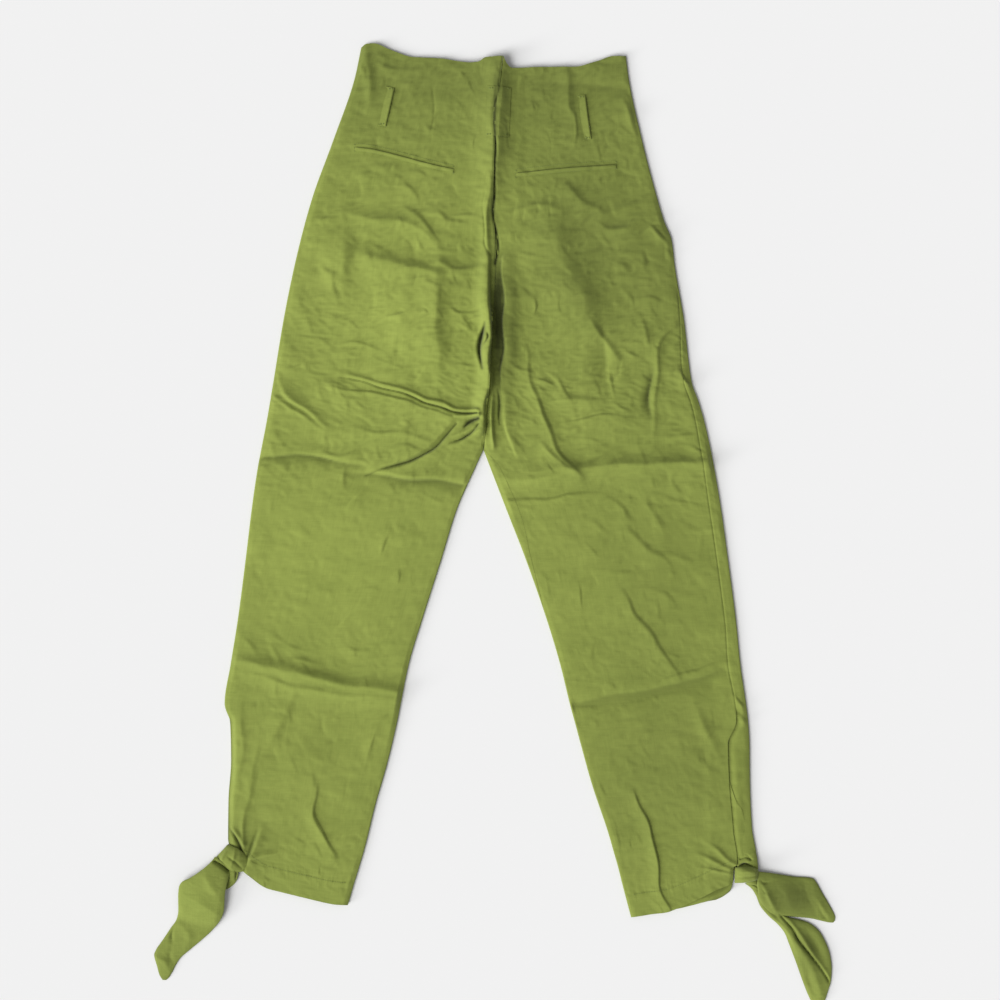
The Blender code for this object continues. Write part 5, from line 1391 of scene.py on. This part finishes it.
# Each knot is a few wraps of the ties, whose rows have the same columns as a tie's.
Wrap = namedtuple("Wrap", "rows creases")
KNOTS = {
    "knot_left": [
        Wrap([  # band
            (-308.2, -366.8, -321.7, -381.2, 3.2, 1), (-304.8, -367.4, -317.4, -384.7, 6.5, 2.5),
            (-301.3, -368.6, -312.2, -388.5, 8, 4.5), (-296.7, -370.5, -307.6, -393.3, 8.6, 6),
            (-292.1, -373.6, -302.4, -396.7, 8, 6), (-288.1, -378.2, -296.7, -397.9, 6.5, 3.5),
            (-284, -384.8, -290.4, -397.3, 4, 2),
        ], [
            ([(-309, -374), (-314, -381), (-317, -386)], 0.5, 2, 0.5, 2.5, 2, 1.5),
            ([(-307, -380), (-299, -386), (-292, -393)], -0.8, -2, -0.8, 1.5, 1.5, 1.6),
            ([(-299, -373), (-301, -382), (-304, -392)], 0.4, 1.2, 0.4, 2, 2, 1.6),
        ]),
        Wrap([  # loop
            (-305.3, -392.4, -296.1, -394.2, 6.5, 3), (-306.5, -397.5, -296, -399.2, 6.8, 2.5),
            (-308.2, -403.6, -297.3, -405.4, 5.6, 1.6), (-310, -408.8, -299.6, -410, 3.6, 1),
            (-311.9, -414, -304.8, -415.1, 2, 0.7), (-312.5, -417.8, -309.3, -418, 1, 0.5),
        ], [
            ([(-297.5, -394), (-298.5, -400), (-299, -406)], -2, -4, -1, 1, 0.9, 1.8),
        ]),
    ],
    "knot_right": [
        Wrap([  # band
            (274.3, -392.7, 274.3, -410.5, 4, 2), (277.1, -392.1, 277.5, -410, 9, 4),
            (282.9, -391.3, 283.5, -409.5, 13, 6), (289.8, -391.6, 290.4, -408.6, 14, 6),
            (295.5, -392.7, 296.1, -407.2, 13, 6), (299.6, -395, 300.1, -406.1, 9.5, 4),
            (301.9, -397.3, 302.4, -404.8, 5, 3),
        ], [
            ([(277, -404), (288, -402), (300, -401)], -0.6, -1.6, -0.6, 1.6, 2, 1.8),
            ([(278, -396), (289, -396), (299, -397)], 0.4, 1.2, 0.4, 2, 2, 1.6),
        ]),
        Wrap([  # rolls
            (277, -366, 295.8, -366, 2.6, 0.5), (276.5, -373, 298, -373, 4.2, 1.2),
            (276.5, -381, 299.6, -381, 5.5, 2.2), (277, -388, 300.4, -388, 6.5, 3),
            (277.5, -395, 300.8, -395, 6, 3),
        ], [
            ([(280.5, -382.5), (286.5, -379.5), (292.5, -383.5)], -2.5, -6, -2.5, 1.3, 1.2, 1.8),
            ([(279.5, -391), (286, -388.5), (293.5, -391)], -2.8, -8, -2.8, 1.6, 1.5, 1.8),
        ]),
        Wrap([  # fold
            (284.6, -407.7, 300.1, -405.4, 6.5, 3), (288.1, -410.9, 300.7, -409.4, 6, 2.5),
            (292.7, -414.3, 301.6, -413.8, 5.5, 2), (297.8, -419.7, 303.6, -418.6, 4, 1.5),
        ], [
            ([(288, -409), (293, -407), (300, -406)], -1, -2.5, -1, 1, 1, 1.8),
            ([(291, -412), (297, -413), (301, -416)], -0.6, -1.6, -0.4, 1, 1, 1.7),
        ]),
    ],
}
WRAP_LINES = 60
WRAP_COLUMNS = 41

for node, wraps in KNOTS.items():
    stretches = []
    for wrap in wraps:
        grid, cut = tie_grid(wrap.rows, wrap.creases, WRAP_LINES, WRAP_COLUMNS)
        stretches.append(thin_shell("ankle_" + node, grid, cut))
    knot = stretches[0]
    with bpy.context.temp_override(active_object=knot, selected_editable_objects=stretches):
        bpy.ops.object.join()
    knot.data.materials.append(linen_cloth)
    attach(knot, "root")
    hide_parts(node)


# --- The surface, the light and the camera ---------------------------------------------------------
# A plain pale floor under soft light: a broad lamp and a low window, both from the lower left, and
# an even glow from the room. The camera looks straight down.

FLOOR_HALF = 6.0
Light = namedtuple("Light", "name towards strength angle")
LIGHTS = [Light("soft_key", (-0.70, -0.50, 0.80), 2.7, 42),
          Light("low_window", (-0.90, -0.40, 0.27), 1.5, 17)]
ROOM_GLOW = 0.312
VIEW_WIDTH = 1.15
CAMERA_AT = (0.0046, 0.0293, 2.6)

floor_mesh = bpy.data.meshes.new("floor")
corners = [(a * FLOOR_HALF, b * FLOOR_HALF, 0) for a, b in ((-1, -1), (1, -1), (1, 1), (-1, 1))]
floor_mesh.from_pydata(corners, [], [(0, 1, 2, 3)])
floor_paint, floor_shader = new_paint("pale_floor")[:2]
fill(floor_shader, Base_Color=(0.86, 0.86, 0.86, 1.0), Roughness=0.95, Specular_IOR_Level=0.1)
new_piece("floor", floor_mesh, floor_paint)

for light in LIGHTS:
    lamp = bpy.data.lights.new(light.name, "SUN")
    lamp.energy = light.strength
    lamp.angle = math.radians(light.angle)
    holder = bpy.data.objects.new(light.name, lamp)
    holder.rotation_euler = Vector(light.towards).to_track_quat("Z", "Y").to_euler()
    bpy.context.scene.collection.objects.link(holder)
room = bpy.data.worlds.new("soft_room")
room.use_nodes = True
fill(room.node_tree.nodes["Background"], Color=(1.0, 1.0, 1.0, 1.0), Strength=ROOM_GLOW)
bpy.context.scene.world = room
bpy.context.scene.view_settings.view_transform = "Standard"

lens = bpy.data.cameras.new("overhead")
lens.lens = lens.sensor_width * CAMERA_AT[2] / VIEW_WIDTH
camera = bpy.data.objects.new("overhead", lens)
camera.location = CAMERA_AT
bpy.context.scene.collection.objects.link(camera)
bpy.context.scene.camera = camera
